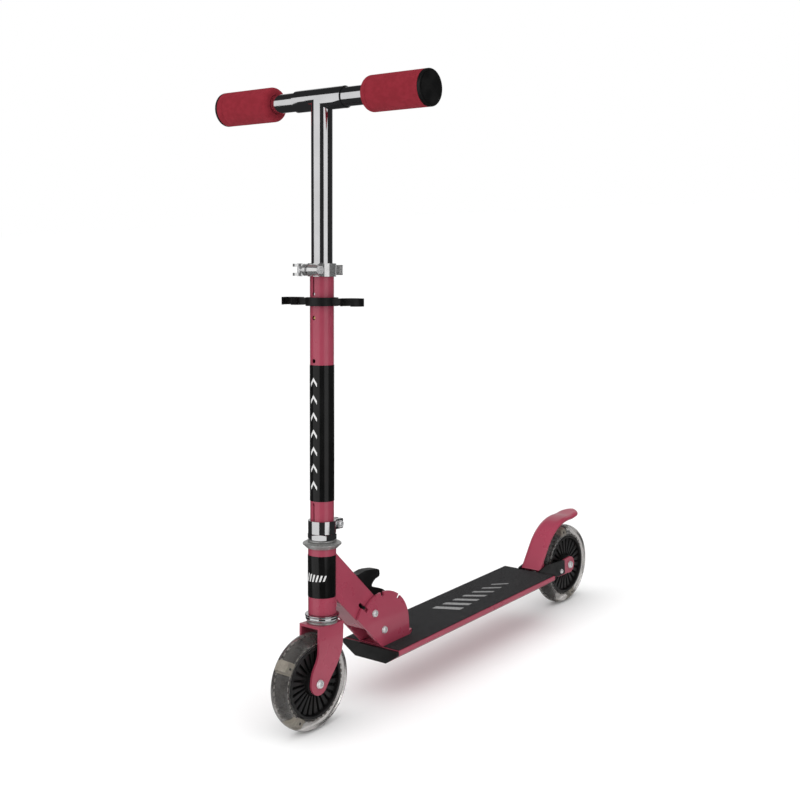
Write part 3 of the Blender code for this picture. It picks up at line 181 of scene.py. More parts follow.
def finish(name, slot, colours, gloss, drift=40.0, bumps=(), metallic=0.0, kind="Noise", **sockets):
    """A material. gloss is its lowest and highest roughness. A bump is its scale, its height in
    millimetres, and its kind of pattern if that isn't noise."""
    made = bpy.data.materials.new(name)
    made.use_nodes = True
    tree = made.node_tree
    shader = tree.nodes["Principled BSDF"]
    shader.inputs["Metallic"].default_value = metallic
    for socket, value in sockets.items():
        shader.inputs[socket.replace("_", " ")].default_value = value
    tone = pattern(tree, drift, kind)
    tree.links.new(ramp(tree, tone, colours), shader.inputs["Base Color"])
    spread = tree.nodes.new("ShaderNodeMapRange")
    for socket, value in zip(("From Min", "From Max", "To Min", "To Max"), (*NOISE_RANGE, *gloss)):
        spread.inputs[socket].default_value = value
    tree.links.new(pattern(tree, drift * FINER_GLOSS), spread.inputs["Value"])
    tree.links.new(spread.outputs["Result"], shader.inputs["Roughness"])
    normal = None
    for scale, height, *shape in bumps:
        bump = tree.nodes.new("ShaderNodeBump")
        bump.inputs["Distance"].default_value = height * MM
        bump.inputs["Strength"].default_value = 1.0
        tree.links.new(pattern(tree, scale, *shape), bump.inputs["Height"])
        if normal:
            tree.links.new(normal, bump.inputs["Normal"])
        normal = bump.outputs["Normal"]
    if normal:
        tree.links.new(normal, shader.inputs["Normal"])
    FINISHES[name] = (made, slot)
    print("finish", name, "for slot", slot)


# %% [markdown]
# ### Paint, chrome and steel
#
# The frame is powder-coated steel under a clear gloss coat, so the coat gets its own low roughness
# over the rougher colour. Chrome is nearly a mirror. Zinc plating is greyer and duller, with a
# crystalline grain that you only see as broken highlights.

# %% Metal finishes
finish(
    "raspberry_paint", "paint", [(0.30, 0.040, 0.072), (0.335, 0.047, 0.083)], (0.26, 0.36), 14.0,
    [(400.0, 0.0015)], Coat_Weight=0.5, Coat_Roughness=0.07, Specular_IOR_Level=0.4,
)
finish(
    "chrome_plate", "chrome", [(0.74, 0.74, 0.75), (0.80, 0.80, 0.81)], (0.035, 0.11), 26.0,
    [(300.0, 0.002)], metallic=1.0,
)
finish(
    "cast_chrome", "chrome", [(0.74, 0.74, 0.74), (0.82, 0.82, 0.82)], (0.10, 0.18), 60.0,
    [(500.0, 0.002)], metallic=0.86,
)
finish(
    "zinc_plate", "steel", [(0.38, 0.38, 0.37), (0.50, 0.50, 0.49)], (0.26, 0.42), 420.0,
    [(900.0, 0.006)], metallic=0.72,
)
finish(
    "bright_steel", "steel", [(0.74, 0.74, 0.75), (0.84, 0.84, 0.85)], (0.16, 0.28), 300.0,
    [(700.0, 0.004)], metallic=0.55,
)
finish(
    "brass_pin", "brass", [(0.58, 0.38, 0.14), (0.72, 0.50, 0.22)], (0.22, 0.38), 300.0,
    [(800.0, 0.006)], metallic=1.0,
)

# %% [markdown]
# ### Moulded plastic, foam, grit and print
#
# Moulded plastic has the fine spark-eroded texture of its tool. Grip foam is thousands of open
# cells, so a cell pattern raises it. Grit tape is grains glued to a film: the same cells, coarser and
# higher, with a few grains that catch the light. The stickers are gloss film, and the printing on
# them is plain ink.

# %% Plastic, foam and film finishes
finish(
    "black_plastic", "black_plastic", [(0.005, 0.005, 0.005), (0.009, 0.009, 0.009)], (0.36, 0.5), 60.0,
    [(1500.0, 0.02)], Specular_IOR_Level=0.35,
)
finish(
    "hub_plastic", "black_plastic", [(0.007, 0.007, 0.007), (0.013, 0.012, 0.012)], (0.30, 0.44), 70.0,
    [(1200.0, 0.012)], Specular_IOR_Level=0.35,
)
finish(
    "red_foam", "foam", [(0.212, 0.018, 0.028), (0.24, 0.021, 0.033)], (0.84, 0.96), 160.0,
    [(1500.0, 0.10, "Voronoi"), (500.0, 0.04)], Specular_IOR_Level=0.1,
)
finish(
    "grit_tape", "tape", [(0.007, 0.007, 0.008), (0.016, 0.016, 0.017), (0.055, 0.055, 0.057)],
    (0.72, 0.95), 1500.0, [(1700.0, 0.35, "Voronoi"), (500.0, 0.15)],
)
finish(
    "gloss_film", "sticker", [(0.004, 0.004, 0.004), (0.007, 0.007, 0.007)], (0.10, 0.17), 30.0,
    [(240.0, 0.002)], Specular_IOR_Level=0.35,
)
finish(
    "white_print", "sticker", [(0.62, 0.62, 0.62), (0.72, 0.72, 0.71)], (0.28, 0.4), 260.0,
    [(900.0, 0.004)],
)
finish(
    "silver_print", "tape", [(0.16, 0.16, 0.16), (0.42, 0.42, 0.42)], (0.45, 0.7), 1400.0,
    [(1700.0, 0.3, "Voronoi")],
)

# %% [markdown]
# ### Clear vinyl
#
# The tyres are cast from see-through vinyl with a smoky tint, and they hold a darker core, lamp
# boards and a strip of foil. Transmission gives the vinyl its depth, and the core and the boards are
# real pieces inside it.

# %% Vinyl and what is inside it
finish(
    "smoky_vinyl", "tyre", [(0.78, 0.75, 0.72), (0.86, 0.83, 0.81)], (0.12, 0.22), 50.0,
    [(60.0, 0.012)], Transmission_Weight=0.97, IOR=1.38,
)
finish(
    "tyre_core_vinyl", "tyre", [(0.016, 0.014, 0.013), (0.042, 0.038, 0.034)], (0.2, 0.4), 60.0,
    [(300.0, 0.05)],
)
finish(
    "lamp_board", "tyre", [(0.50, 0.46, 0.38), (0.64, 0.60, 0.51)], (0.4, 0.6), 250.0, [(700.0, 0.05)],
)
finish(
    "foil_strip", "tyre", [(0.40, 0.38, 0.36), (0.62, 0.60, 0.57)], (0.2, 0.4), 320.0,
    [(500.0, 0.05)], metallic=0.8,
)

# %% [markdown]
# ## Shape helpers
#
# Most pieces are one of three things: a profile spun round an axis, a flat outline made thick, or
# several of those cut and joined. Each helper makes one such shape with bmesh operators, in
# millimetres, in the local axes of its assembly. Sharp corners give themselves away at once in a
# picture, so outlines get their corners rounded and solid edges a small bevel.

# %% Outlines
def polar(radius, degrees, centre=(0, 0)):
    angle = math.radians(degrees)
    return centre[0] + radius * math.cos(angle), centre[1] + radius * math.sin(angle)


def arc(radius, start, end, steps, centre=(0, 0)):
    return [polar(radius, start + (end - start) * i / steps, centre) for i in range(steps + 1)]


STRAIGHT_ENOUGH = math.radians(20)
LONGEST_CURVE = 0.45  # as a share of the side that it starts on


def rounded(points, radius, steps=3, closed=True):
    """An outline with each sharp corner swapped for a small curve."""
    out = []
    for i, point in enumerate(points):
        here = Vector(point)
        before, after = Vector(points[i - 1]) - here, Vector(points[(i + 1) % len(points)]) - here
        at_end = not closed and i in (0, len(points) - 1)
        if at_end or before.angle(-after) < STRAIGHT_ENOUGH:
            out.append(tuple(here))
            continue
        reach = min(radius, before.length * LONGEST_CURVE, after.length * LONGEST_CURVE)
        a, b = here + before.normalized() * reach, here + after.normalized() * reach
        for k in range(steps + 1):
            t = k / steps
            out.append(tuple(a * (1 - t) ** 2 + here * 2 * t * (1 - t) + b * t * t))
    return out


def smooth(points, steps=4):
    """A curve through the points."""
    out = [points[0]]
    last = len(points) - 1
    for i in range(last):
        p0, p1, p2, p3 = (Vector(points[min(max(i + k, 0), last)]) for k in (-1, 0, 1, 2))
        for k in range(1, steps + 1):
            t = k / steps
            cubic = (2 * p0 - 5 * p1 + 4 * p2 - p3) * t * t + (3 * p1 - p0 - 3 * p2 + p3) * t**3
            out.append(tuple(p1 + ((p2 - p0) * t + cubic) / 2))
    return out


# %% Solids
SIDES = 72
FINE_SIDES = 96
PAST = 5  # how far a cutter runs past what it cuts
ALONG_X = Matrix.Rotation(math.radians(90), 4, "Y")


def spun(profile, along="Z", ring=True, sides=SIDES):
    """A profile of (radius, height) turned all the way round an axis."""
    bm = bmesh.new()
    verts = [bm.verts.new((radius, 0, height)) for radius, height in profile]
    edges = [bm.edges.new(pair) for pair in zip(verts, verts[1:] + verts[:1] * ring)]
    bmesh.ops.spin(
        bm, geom=verts + edges, cent=(0, 0, 0), axis=(0, 0, 1), angle=math.tau, steps=sides, use_merge=True
    )
    bmesh.ops.remove_doubles(bm, verts=bm.verts, dist=1e-4)
    bmesh.ops.recalc_face_normals(bm, faces=bm.faces)
    if along == "X":
        bm.transform(ALONG_X)
    return bm


def plate(outline, low, high, across="X"):
    """A flat outline made thick from low to high. Its points are (y, z), (x, z) or (x, y)."""
    order = {"X": (2, 0, 1), "Y": (0, 2, 1), "Z": (0, 1, 2)}[across]
    bm = bmesh.new()
    corners = [bm.verts.new([(u, v, low)[k] for k in order]) for u, v in outline]
    edges = [bm.edges.new(pair) for pair in zip(corners, corners[1:] + corners[:1])]
    bmesh.ops.edgeloop_fill(bm, edges=edges)
    grown = bmesh.ops.extrude_face_region(bm, geom=bm.faces[:])
    moved = [item for item in grown["geom"] if isinstance(item, bmesh.types.BMVert)]
    bmesh.ops.translate(bm, vec=[(0, 0, high - low)[k] for k in order], verts=moved)
    bmesh.ops.recalc_face_normals(bm, faces=bm.faces)
    return bm


def rod(radius, start, end, end_radius=None, sides=SIDES):
    start, end = Vector(start), Vector(end)
    bm = bmesh.new()
    bmesh.ops.create_cone(
        bm, cap_ends=True, segments=sides, radius1=radius,
        radius2=radius if end_radius is None else end_radius, depth=(end - start).length,
    )
    turn = (end - start).to_track_quat("Z", "Y").to_matrix().to_4x4()
    bm.transform(Matrix.Translation((start + end) / 2) @ turn)
    return bm


def post(radius, low, high, x=0, y=0, sides=SIDES):
    """A rod along Z."""
    return rod(radius, (x, y, low), (x, y, high), sides=sides)


def drill(radius, low, high, x=0, y=0, sides=SIDES):
    """A cutter along Z that runs past both heights."""
    return post(radius, low - PAST, high + PAST, x, y, sides)


def block(low, high):
    low, high = Vector(low), Vector(high)
    bm = bmesh.new()
    bmesh.ops.create_cube(bm, size=1)
    bmesh.ops.scale(bm, vec=high - low, verts=bm.verts)
    bmesh.ops.translate(bm, vec=(low + high) / 2, verts=bm.verts)
    return bm


# %% [markdown]
# ### Cutting, joining and rounding
#
# A Boolean modifier cuts and joins as the real piece is drilled and welded. Its result keeps every
# sharp edge, so a bevel runs round all edges that turn by more than an angle. Flat faces are first
# dissolved into one, since a bevel across the cut's spare edges would leave creases.

# %% Cutting, joining and rounding
def as_object(bm):
    mesh = bpy.data.meshes.new("shape")
    bm.to_mesh(mesh)
    bm.free()
    obj = bpy.data.objects.new("shape", mesh)
    bpy.context.scene.collection.objects.link(obj)
    return obj


def combined(base, join=(), cut=(), keep=()):
    """One solid from several: joined, then cut, then trimmed to what lies inside others."""
    base = as_object(base)
    steps = [("UNION", shape) for shape in join] + [("DIFFERENCE", shape) for shape in cut]
    steps += [("INTERSECT", shape) for shape in keep]
    others = []
    for operation, shape in steps:
        others.append(as_object(shape))
        step = base.modifiers.new(operation, "BOOLEAN")
        step.operation, step.object = operation, others[-1]
    graph = bpy.context.evaluated_depsgraph_get()
    mesh = bpy.data.meshes.new_from_object(base.evaluated_get(graph))
    bm = bmesh.new()
    bm.from_mesh(mesh)
    for data in [mesh] + [obj.data for obj in (base, *others)]:
        bpy.data.meshes.remove(data)
    bmesh.ops.remove_doubles(bm, verts=bm.verts, dist=1e-3)
    return bm


def soften(bm, width, segments=2, sharper=30):
    """Bevels every edge that turns by more than an angle."""
    bmesh.ops.dissolve_limit(bm, angle_limit=math.radians(0.5), verts=bm.verts, edges=bm.edges)
    edges = [e for e in bm.edges if e.is_manifold and e.calc_face_angle() > math.radians(sharper)]
    bmesh.ops.bevel(
        bm, geom=edges, offset=width, offset_type="OFFSET", segments=segments, profile=0.5,
        affect="EDGES", clamp_overlap=True, material=-1,
    )
    return bm


def together(*shapes):
    """Several shapes as one mesh, each still closed by itself."""
    whole = bmesh.new()
    for shape in shapes:
        mesh = bpy.data.meshes.new("shape")
        shape.to_mesh(mesh)
        shape.free()
        whole.from_mesh(mesh)
        bpy.data.meshes.remove(mesh)
    return whole


def from_node(node, place):
    """A copy of a CAD node's shape with its loose triangles merged."""
    bm = bmesh.new()
    bm.from_mesh(frame["nodes"][node].data)
    bm.transform(place.inverted())
    bmesh.ops.remove_doubles(bm, verts=bm.verts, dist=1e-3)
    return bm


# %% [markdown]
# ### From a shape to a piece
#
# A finished shape is put in its place inside its mesh, so that its object can stay at the origin. It
# is shaded smooth up to an angle, and a Weighted Normal modifier keeps its flat faces looking flat
# beside their bevels. Then it is set on the body it rides on, and the CAD nodes it stands for are hidden.

# %% Turning a shape into a piece
def finished(bm, name, finish_name, place, nodes=(), body=None, sharp=40):
    """Puts a shape in its place, sets it on the body it rides on, and hides the CAD nodes it stands for."""
    bm.transform(place)
    obj = as_object(bm)
    obj.name = obj.data.name = name
    obj.data.shade_smooth()
    obj.data.set_sharp_from_angle(angle=math.radians(sharp))
    made, slot = FINISHES[finish_name]
    obj.data.materials.append(made)
    even = obj.modifiers.new("Even shading", "WEIGHTED_NORMAL")
    even.keep_sharp = True
    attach(obj, body or frame["nodes"][nodes[0]]["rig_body"])
    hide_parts(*nodes)
    print(name, len(obj.data.polygons), "faces")
    return obj


# %% [markdown]
# ## Tyres
#
# A light-up tyre is a solid ring of clear vinyl cast round a core. The outside is a half ellipse in
# section. It could be a torus, but a spun profile gives the flat bore and the slightly bulging
# walls as well. The core, the lamp boards and the foil strip are separate closed shapes inside it.

# %% Tyre
TYRE_CROWN = 9.0
CORE_RADIUS, CORE_HALF = 47.4, 7.0


def tyre(where, place):
    low, high = span(where + "_tyre", place)
    bore = span(where + "_hub", place)[1].y + 0.3
    edge = high.y - TYRE_CROWN
    half_turn = [math.radians(degrees) for degrees in range(90, -91, -10)]
    crown = [(edge + TYRE_CROWN * math.cos(a), high.x * math.sin(a)) for a in half_turn]
    profile = rounded([(bore, high.x - 1)] + crown + [(bore, 1 - high.x)], 1.2)
    ring = spun(profile, "X", sides=FINE_SIDES)
    finished(ring, where + "_clear_tyre", "smoky_vinyl", place, [where + "_tyre"])
    inside = bore + 0.6
    core = [(inside, -CORE_HALF), (CORE_RADIUS, -CORE_HALF), (CORE_RADIUS, CORE_HALF), (inside, CORE_HALF)]
    ring = spun(rounded(core, 2.2), "X", sides=FINE_SIDES)
    finished(ring, where + "_tyre_core", "tyre_core_vinyl", place, body=where + "_wheel")


# %% [markdown]
# ### Lamp boards and foil
#
# Each tyre holds two pale boards with a chip on them, and a strip of foil that runs round near the
# hub, seen as a row of dashes. A dash is one small block, repeated round the wheel by spin.

# %% Lamp boards and foil dashes
BOARD_ANGLES = {"front": (143.0, 233.0), "rear": (96.0, 286.0)}
DASHES = 40


def round_wheel(bm, count):
    """Copies a shape round the axle to make a ring of them."""
    bmesh.ops.spin(
        bm, geom=bm.verts[:] + bm.edges[:] + bm.faces[:], cent=(0, 0, 0), axis=(1, 0, 0),
        angle=math.tau * (count - 1) / count, steps=count - 1, use_duplicate=True,
    )
    return bm


def brick(half_width, half_length, low, high, x=0):
    """A block between two distances from the axle."""
    return block((x - half_width, low, -half_length), (x + half_width, high, half_length))


def lamps(where, place):
    body = where + "_wheel"
    for number, degrees in enumerate(BOARD_ANGLES[where], 1):
        turn = Matrix.Rotation(math.radians(degrees), 4, "X")
        lamp = together(soften(brick(8.8, 6.0, 46.2, 56.0), 0.6), soften(brick(8.4, 7.6, 45.6, 49.0), 0.5))
        chip = together(*[soften(brick(0.5, 1.3, 49.8, 52.4, x), 0.2) for x in (-8.9, 8.9)])
        lamp.transform(turn)
        chip.transform(turn)
        finished(lamp, f"{where}_lamp_board_{number}", "lamp_board", place, body=body)
        finished(chip, f"{where}_lamp_chip_{number}", "hub_plastic", place, body=body)
    dashes = [soften(brick(0.4, 2.4, 46.4, 47.9, x), 0.25, 1) for x in (-7.7, 7.7)]
    dashes = round_wheel(together(*dashes), DASHES)
    finished(dashes, where + "_foil_dashes", "foil_strip", place, body=body)


# %% [markdown]
# ## Hubs and bearings
#
# The hub is moulded: a rim, a web, and a boss with a seat for a bearing on each side. Ribs stiffen
# the web, wider towards the rim. One rib is a thick outline with a bevel, and spin copies it round.

# %% Hub
HUB_RIBS = 24
M8_HOLE = 4.1


def hub(where, place):
    high = span(where + "_hub", place)[1]
    rim, web, boss, seat = 11.0, 3.2, high.x, 4.7
    side = [
        (high.y, rim), (high.y - 3.6, rim), (high.y - 4.2, web), (17.0, web), (14.5, 6.0), (14.5, boss),
        (11.3, boss), (11.3, seat), (9.0, seat),
    ]
    profile = [(r, -h) for r, h in side] + [(r, h) for r, h in reversed(side)]
    wheel = spun(rounded(profile, 0.8), "X", sides=FINE_SIDES)
    rib = [(15.4, -1.0), (38.6, -3.35), (39.6, -2.2), (39.6, 2.2), (38.6, 3.35), (15.4, 1.0)]
    ribs = round_wheel(soften(plate(rib, -7.4, 7.4), 0.7), HUB_RIBS)
    finished(together(wheel, ribs), where + "_ribbed_hub", "hub_plastic", place, [where + "_hub"])


def bearing(where, place, side):
    """Two races with a sunk shield between them."""
    name = f"{where}_bearing_{side}"
    low, high = span(name, place)
    sunk = 0.5
    top = [(9.2, high.x), (8.9, high.x - sunk), (6.2, high.x - sunk), (5.9, high.x), (M8_HOLE, high.x)]
    bottom = [(M8_HOLE, low.x), (5.9, low.x), (6.2, low.x + sunk), (8.9, low.x + sunk), (9.2, low.x)]
    races = rounded([(high.y, low.x), (high.y, high.x)] + top + bottom, 0.3, 2)
    finished(spun(races, "X", sides=48), name + "_races", "zinc_plate", place, [name])


for where, place in WHEELS.items():
    tyre(where, place)
    lamps(where, place)
    hub(where, place)
    for side in ("left", "right"):
        bearing(where, place, side)

# %% [markdown]
# ## Bolts, nuts and screws
#
# Button-head bolts have a low dome with a hexagon socket sunk in it. The dome is spun, and a
# six-sided rod cuts the socket. A nut is a six-sided rod with its corners turned off: keeping only
# what lies inside a spun barrel does that.

# %% Bolts
M8_SHANK, M6_SHANK, M4_SHANK, M6_HOLE = 3.8, 3.0, 1.9, 3.3
DOME_RISE, SOCKET_DEPTH, SOCKET_WIDTH = 0.72, 0.62, 0.5  # shares of the head's height and radius


def bolt(node, shank, place, axis=0, head=3.5):
    """A dome-headed bolt over a CAD bolt that lies along X (axis 0) or Z (axis 2)."""
    low, high = span(node, place)
    others = [k for k in range(3) if k != axis]
    centre = (low + high) / 2
    radius = min(high[k] - low[k] for k in others) / 2
    top = (high[axis] - low[axis]) / 2
    dome = [polar(radius, a) for a in range(90, 20, -12)]
    lift = head * DOME_RISE
    under = top - head
    profile = [(0.0, -top), (shank - 0.5, -top), (shank, -top + 0.6), (shank, under), (radius, under)]
    profile += [(x, top - lift + lift * y / radius) for x, y in reversed(dome)]
    profile[-1] = (0.0, profile[-1][1])
    body = spun(profile, ring=False, sides=40)
    socket = post(radius * SOCKET_WIDTH, top - head * SOCKET_DEPTH, top + 3, sides=6)
    body = soften(combined(body, cut=[socket]), 0.14, 1)
    turn = ALONG_X if axis == 0 else Matrix()
    if node == "cover_screw_right":
        turn = Matrix.Rotation(math.pi, 4, "Z") @ turn
    body.transform(Matrix.Translation(centre) @ turn)
    finished(body, node + "_domed", "bright_steel", place, [node])


def hex_nut(node, hole, place, axis=0, finish_name="bright_steel"):
    """A nut with turned-off corners over a CAD nut."""
    low, high = span(node, place)
    others = [k for k in range(3) if k != axis]
    centre = (low + high) / 2
    corner = max(high[k] - low[k] for k in others) / 2
    half = (high[axis] - low[axis]) / 2
    flat = corner * math.cos(math.radians(30))
    below = [(0, -half), (flat - 0.2, -half), (corner, -half + 0.9)]
    above = [(corner, half - 0.9), (flat - 0.2, half), (0, half)]
    barrel = spun(below + above, ring=False, sides=60)
    body = post(corner, -half, half, sides=6)
    body = combined(body, cut=[drill(hole, -half, half, sides=40)], keep=[barrel])
    body.transform(Matrix.Translation(centre) @ (ALONG_X if axis == 0 else Matrix()))
    finished(body, node + "_chamfered", finish_name, place, [node], sharp=25)


for where, place in WHEELS.items():
    bolt(where + "_axle_bolt", M8_SHANK, place, head=3.6)
    hex_nut(where + "_axle_nut", M8_HOLE, place)
bolt("pivot_bolt", M8_SHANK, FOLD, head=3.4)
bolt("stop_bolt", M6_SHANK, FOLD, head=3.4)
hex_nut("pivot_nut", M8_HOLE, FOLD)
hex_nut("stop_nut", M6_HOLE, FOLD)
for side in ("left", "right"):
    bolt("cover_screw_" + side, M4_SHANK, WHEELS["rear"], head=2.0)
    bolt("bracket_screw_" + side, M4_SHANK, FOLD, axis=2, head=1.8)

# %% [markdown]
# ## Fork and headset
#
# The fork is one sheet bent into an inverted U, with blades that sweep forward to the axle. Its CAD
# shape is right, so a merged copy with rounded edges does. The headset is what a reader should
# look at: chromed lower cup, wide upper cup, washer and a big nut, each a spun profile.

# %% Fork
finished(soften(from_node("fork", COLUMN), 0.55, 3), "bent_fork", "raspberry_paint", COLUMN, ["fork"])

# %% Headset
BORE, CUP_SKIRT, RIM_HEIGHT = 13.3, 15.0, 7.6


def measured_ring(node, outline, name, finish_name, corner):
    """A spun ring over a CAD one. The outline gives (radius, height) from its lowest and highest."""
    show(node, COLUMN)
    low, high = span(node, COLUMN)
    profile = outline(high.x, low.z, high.z)
    finished(spun(rounded(profile, corner)), name, finish_name, COLUMN, [node])


def race(radius, low, high):
    return [(BORE, low), (radius, low), (radius, high - 1.2), (radius - 1.3, high), (BORE, high)]


def lower_cup(radius, low, high, seat=11.0):
    return [
        (BORE, low), (radius - 2.2, low), (radius - 1.0, low + 1.0), (radius - 0.7, low + 2.6),
        (radius - 1.1, low + 4.6), (radius, low + 5.4), (radius, seat - 0.5), (radius - 0.6, seat),
        (CUP_SKIRT, seat), (CUP_SKIRT, high), (BORE, high),
    ]


def upper_cup(radius, low, high):
    seat = high - RIM_HEIGHT
    return [
        (BORE, high), (radius - 4, high), (radius - 1.2, high - 1.1), (radius, high - 1.9),
        (radius, high - 3.1), (radius - 1.4, high - 4.2), (18.7, seat), (CUP_SKIRT, seat),
        (CUP_SKIRT, low), (BORE, low),
    ]


def washer(radius, low, high):
    return [(BORE, low), (radius, low), (radius, high), (BORE, high)]


measured_ring("crown_race", race, "fork_race", "zinc_plate", 0.4)
measured_ring("lower_cup", lower_cup, "chrome_lower_cup", "chrome_plate", 0.5)
measured_ring("upper_cup", upper_cup, "dished_upper_cup", "zinc_plate", 0.7)
measured_ring("top_washer", washer, "keyed_washer", "zinc_plate", 0.5)
hex_nut("top_nut", BORE, COLUMN, axis=2, finish_name="chrome_plate")

# %% [markdown]
# ## Neck and head tube
#
# The neck is a rectangular tube welded to the back of the head tube. A copy of the CAD would keep
# its coarse facets on the head tube, which faces the camera, so the neck is made again from round
# rods and a thick outline. Slots let the lock pin, the lever and the stop bolt move.

# %% Neck
NECK_HALF, NECK_LOW, NECK_HIGH, NECK_END = 15.0, 18.0, 23.8, 17.8
HEAD_LOW, HEAD_HIGH, HEAD_RADIUS, HEAD_BORE = 11.3, 92.0, 17.0, 15.0
PIN_AT, PIN_TRAVEL, PIN_SLOT = 52.1, 6.0, 2.6
STOP_INSIDE, STOP_OUTSIDE, STOP_START, STOP_END = 27.2, 34.8, 72, 172
WELD_AT, NECK_WALL, PAST_CHEEKS = 4.0, 2.0, 30
NECK_TURN = COLUMN.inverted() @ NECK


def in_column(bm):
    """Moves a shape drawn in the neck's axes into the column's."""
    bm.transform(NECK_TURN)
    return bm


def neck():
    """The tube ends inside the head tube's wall, along a plane behind the steering axis."""
    lean = (NECK_TURN.to_3x3() @ Vector((0, 0, 1))).normalized()
    origin = NECK_TURN.translation
    side = (NECK_TURN.to_3x3() @ Vector((0, 1, 0))).normalized()

    def meets(across, behind):
        """How far up the neck its line at one height reaches a distance behind the column's axis."""
        return (behind - origin.y - across * side.y) / lean.y

    outline = [(-NECK_LOW, meets(-NECK_LOW, WELD_AT)), (-NECK_LOW, 0.5)] + arc(NECK_END, 180, 360, 28)[1:]
    outline += [(NECK_HIGH, 6.0), (NECK_HIGH, meets(NECK_HIGH, WELD_AT))]
    low, high, inside = NECK_WALL - NECK_LOW, NECK_HIGH - NECK_WALL, NECK_HALF - NECK_WALL
    reach = HEAD_RADIUS + NECK_WALL
    cavity = [(low, meets(low, reach)), (low, -40), (high, -40), (high, meets(high, reach))]
    tube = soften(plate(outline, -NECK_HALF, NECK_HALF), 1.3, 3, 60)
    tube = combined(tube, cut=[plate(cavity, -inside, inside)])
    head = post(HEAD_RADIUS, HEAD_LOW, HEAD_HIGH, sides=FINE_SIDES)
    slot = arc(PIN_SLOT, 180, 360, 10, (0, PIN_AT)) + arc(PIN_SLOT, 0, 180, 10, (0, PIN_AT + PIN_TRAVEL))
    stop = arc(STOP_OUTSIDE, STOP_START, STOP_END, 28) + arc(STOP_INSIDE, STOP_END, STOP_START, 28)
    cuts = [plate(hole, -PAST_CHEEKS, PAST_CHEEKS) for hole in (slot, stop)] + [
        block((-7.5, NECK_HIGH - 4, 20.5), (7.5, NECK_HIGH + PAST, 92.0)),
        block((-inside, -NECK_LOW - PAST, -30), (inside, low + 0.5, 29.5)),
        rod(M8_HOLE, (-PAST_CHEEKS, 0, 0), (PAST_CHEEKS, 0, 0)),
    ]
    cuts = [drill(HEAD_BORE, HEAD_LOW, HEAD_HIGH, sides=FINE_SIDES)] + [in_column(cut) for cut in cuts]
    body = combined(in_column(tube), join=[head], cut=cuts)
    finished(soften(body, 0.3, 2, 40), "welded_neck", "raspberry_paint", COLUMN, ["neck_frame"])


neck()

# %% [markdown]
# ### Weld bead
#
# Where the neck meets the head tube, a weld bead stands proud under the paint. It follows the line
# where a flat side meets a round tube, which is straight and parallel to the steering axis, so a
# row of short overlapping blobs on each side is a fair bead.

# %% Weld bead
def bead(points, radius, name, finish_name, place, body):
    """A run of overlapping flattened drops along a line."""
    drops = []
    for point in points:
        bm = bmesh.new()
        bmesh.ops.create_icosphere(bm, subdivisions=2, radius=radius)
        bmesh.ops.translate(bm, vec=point, verts=bm.verts)
        drops.append(bm)
    finished(together(*drops), name, finish_name, place, body=body)


edge = math.sqrt(HEAD_RADIUS**2 - NECK_HALF**2)
BEAD_LOW, BEAD_HIGH, BEAD_DROPS, BEAD_RADIUS = 20.5, 84.0, 34, 1.25
for name, x in (("left", NECK_HALF), ("right", -NECK_HALF)):
    heights = [BEAD_LOW + (BEAD_HIGH - BEAD_LOW) * i / BEAD_DROPS for i in range(BEAD_DROPS + 1)]
    run = [(x * 0.985, edge + 0.4, height) for height in heights]
    bead(run, BEAD_RADIUS, "neck_weld_" + name, "raspberry_paint", COLUMN, "neck")

# %% [markdown]
# ## Fold bracket
#
# Two pressed cheeks on a base, with notches in their round rim that the lock pin drops into. The
# CAD copy has the right outline, and a bevel gives the pressed edge its highlight.

# %% Fold bracket
bracket = soften(from_node("fold_bracket", FOLD), 0.35)
finished(bracket, "pressed_bracket", "raspberry_paint", FOLD, ["fold_bracket"])

# %% [markdown]
# ## Lock lever
#
# A moulded slide with a finger hook. Its edges are well rounded so that a child can pull it. The pin
# that it moves is a plain turned rod.

# %% Lock lever
lever = soften(from_node("lock_slider", NECK), 1.1, 3, 40)
finished(lever, "moulded_lock_lever", "black_plastic", NECK, ["lock_slider"])
low, high = span("lock_pin", NECK)
pin_profile = rounded([(0, low.x), (high.y, low.x), (high.y, high.x), (0, high.x)], 0.5, 2, closed=False)
pin = spun(pin_profile, "X", ring=False, sides=32)
bmesh.ops.translate(pin, vec=(0, 0, (low.z + high.z) / 2), verts=pin.verts)
finished(pin, "turned_lock_pin", "black_plastic", NECK, ["lock_pin"])

# %% [markdown]
# ### Lock spring
#
# A coil spring pushes the lever's foot down. Spin makes a coil when each step also moves along the
# axis. The lever presses it from below while its top end stands still.

# %% Lock spring
def coil(radius, wire, turns, low, high, steps=24):
    """A coil of round wire round Z, from one height to another."""
    bm = bmesh.new()
    bmesh.ops.create_circle(bm, segments=10, radius=wire)
    bm.transform(Matrix.Translation((radius, 0, low + wire)) @ Matrix.Rotation(math.radians(90), 4, "X"))
    count = turns * steps
    bmesh.ops.spin(
        bm, geom=bm.verts[:] + bm.edges[:], cent=(0, 0, 0), axis=(0, 0, 1),
        dvec=(0, 0, (high - low - 2 * wire) / count), angle=math.tau * turns, steps=count,
    )
    bmesh.ops.holes_fill(bm, edges=bm.edges, sides=0)
    bmesh.ops.recalc_face_normals(bm, faces=bm.faces)
    return bm


low, high = span("lock_spring", NECK)
spring = coil(4.2, 0.6, 7, low.z, high.z)
bmesh.ops.translate(spring, vec=(0, (low.y + high.y) / 2, 0), verts=spring.verts)
spring = finished(spring, "lock_coil_spring", "zinc_plate", NECK, ["lock_spring"])
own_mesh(spring)

# %% [markdown]
# ## Deck
#
# The deck is an extruded tray, painted, with end caps and a sheet of grit tape on top. The copies
# of the CAD pieces get a generous bevel, since extrusions have rounded edges, and so does the rear
# fork, which is bent from sheet.

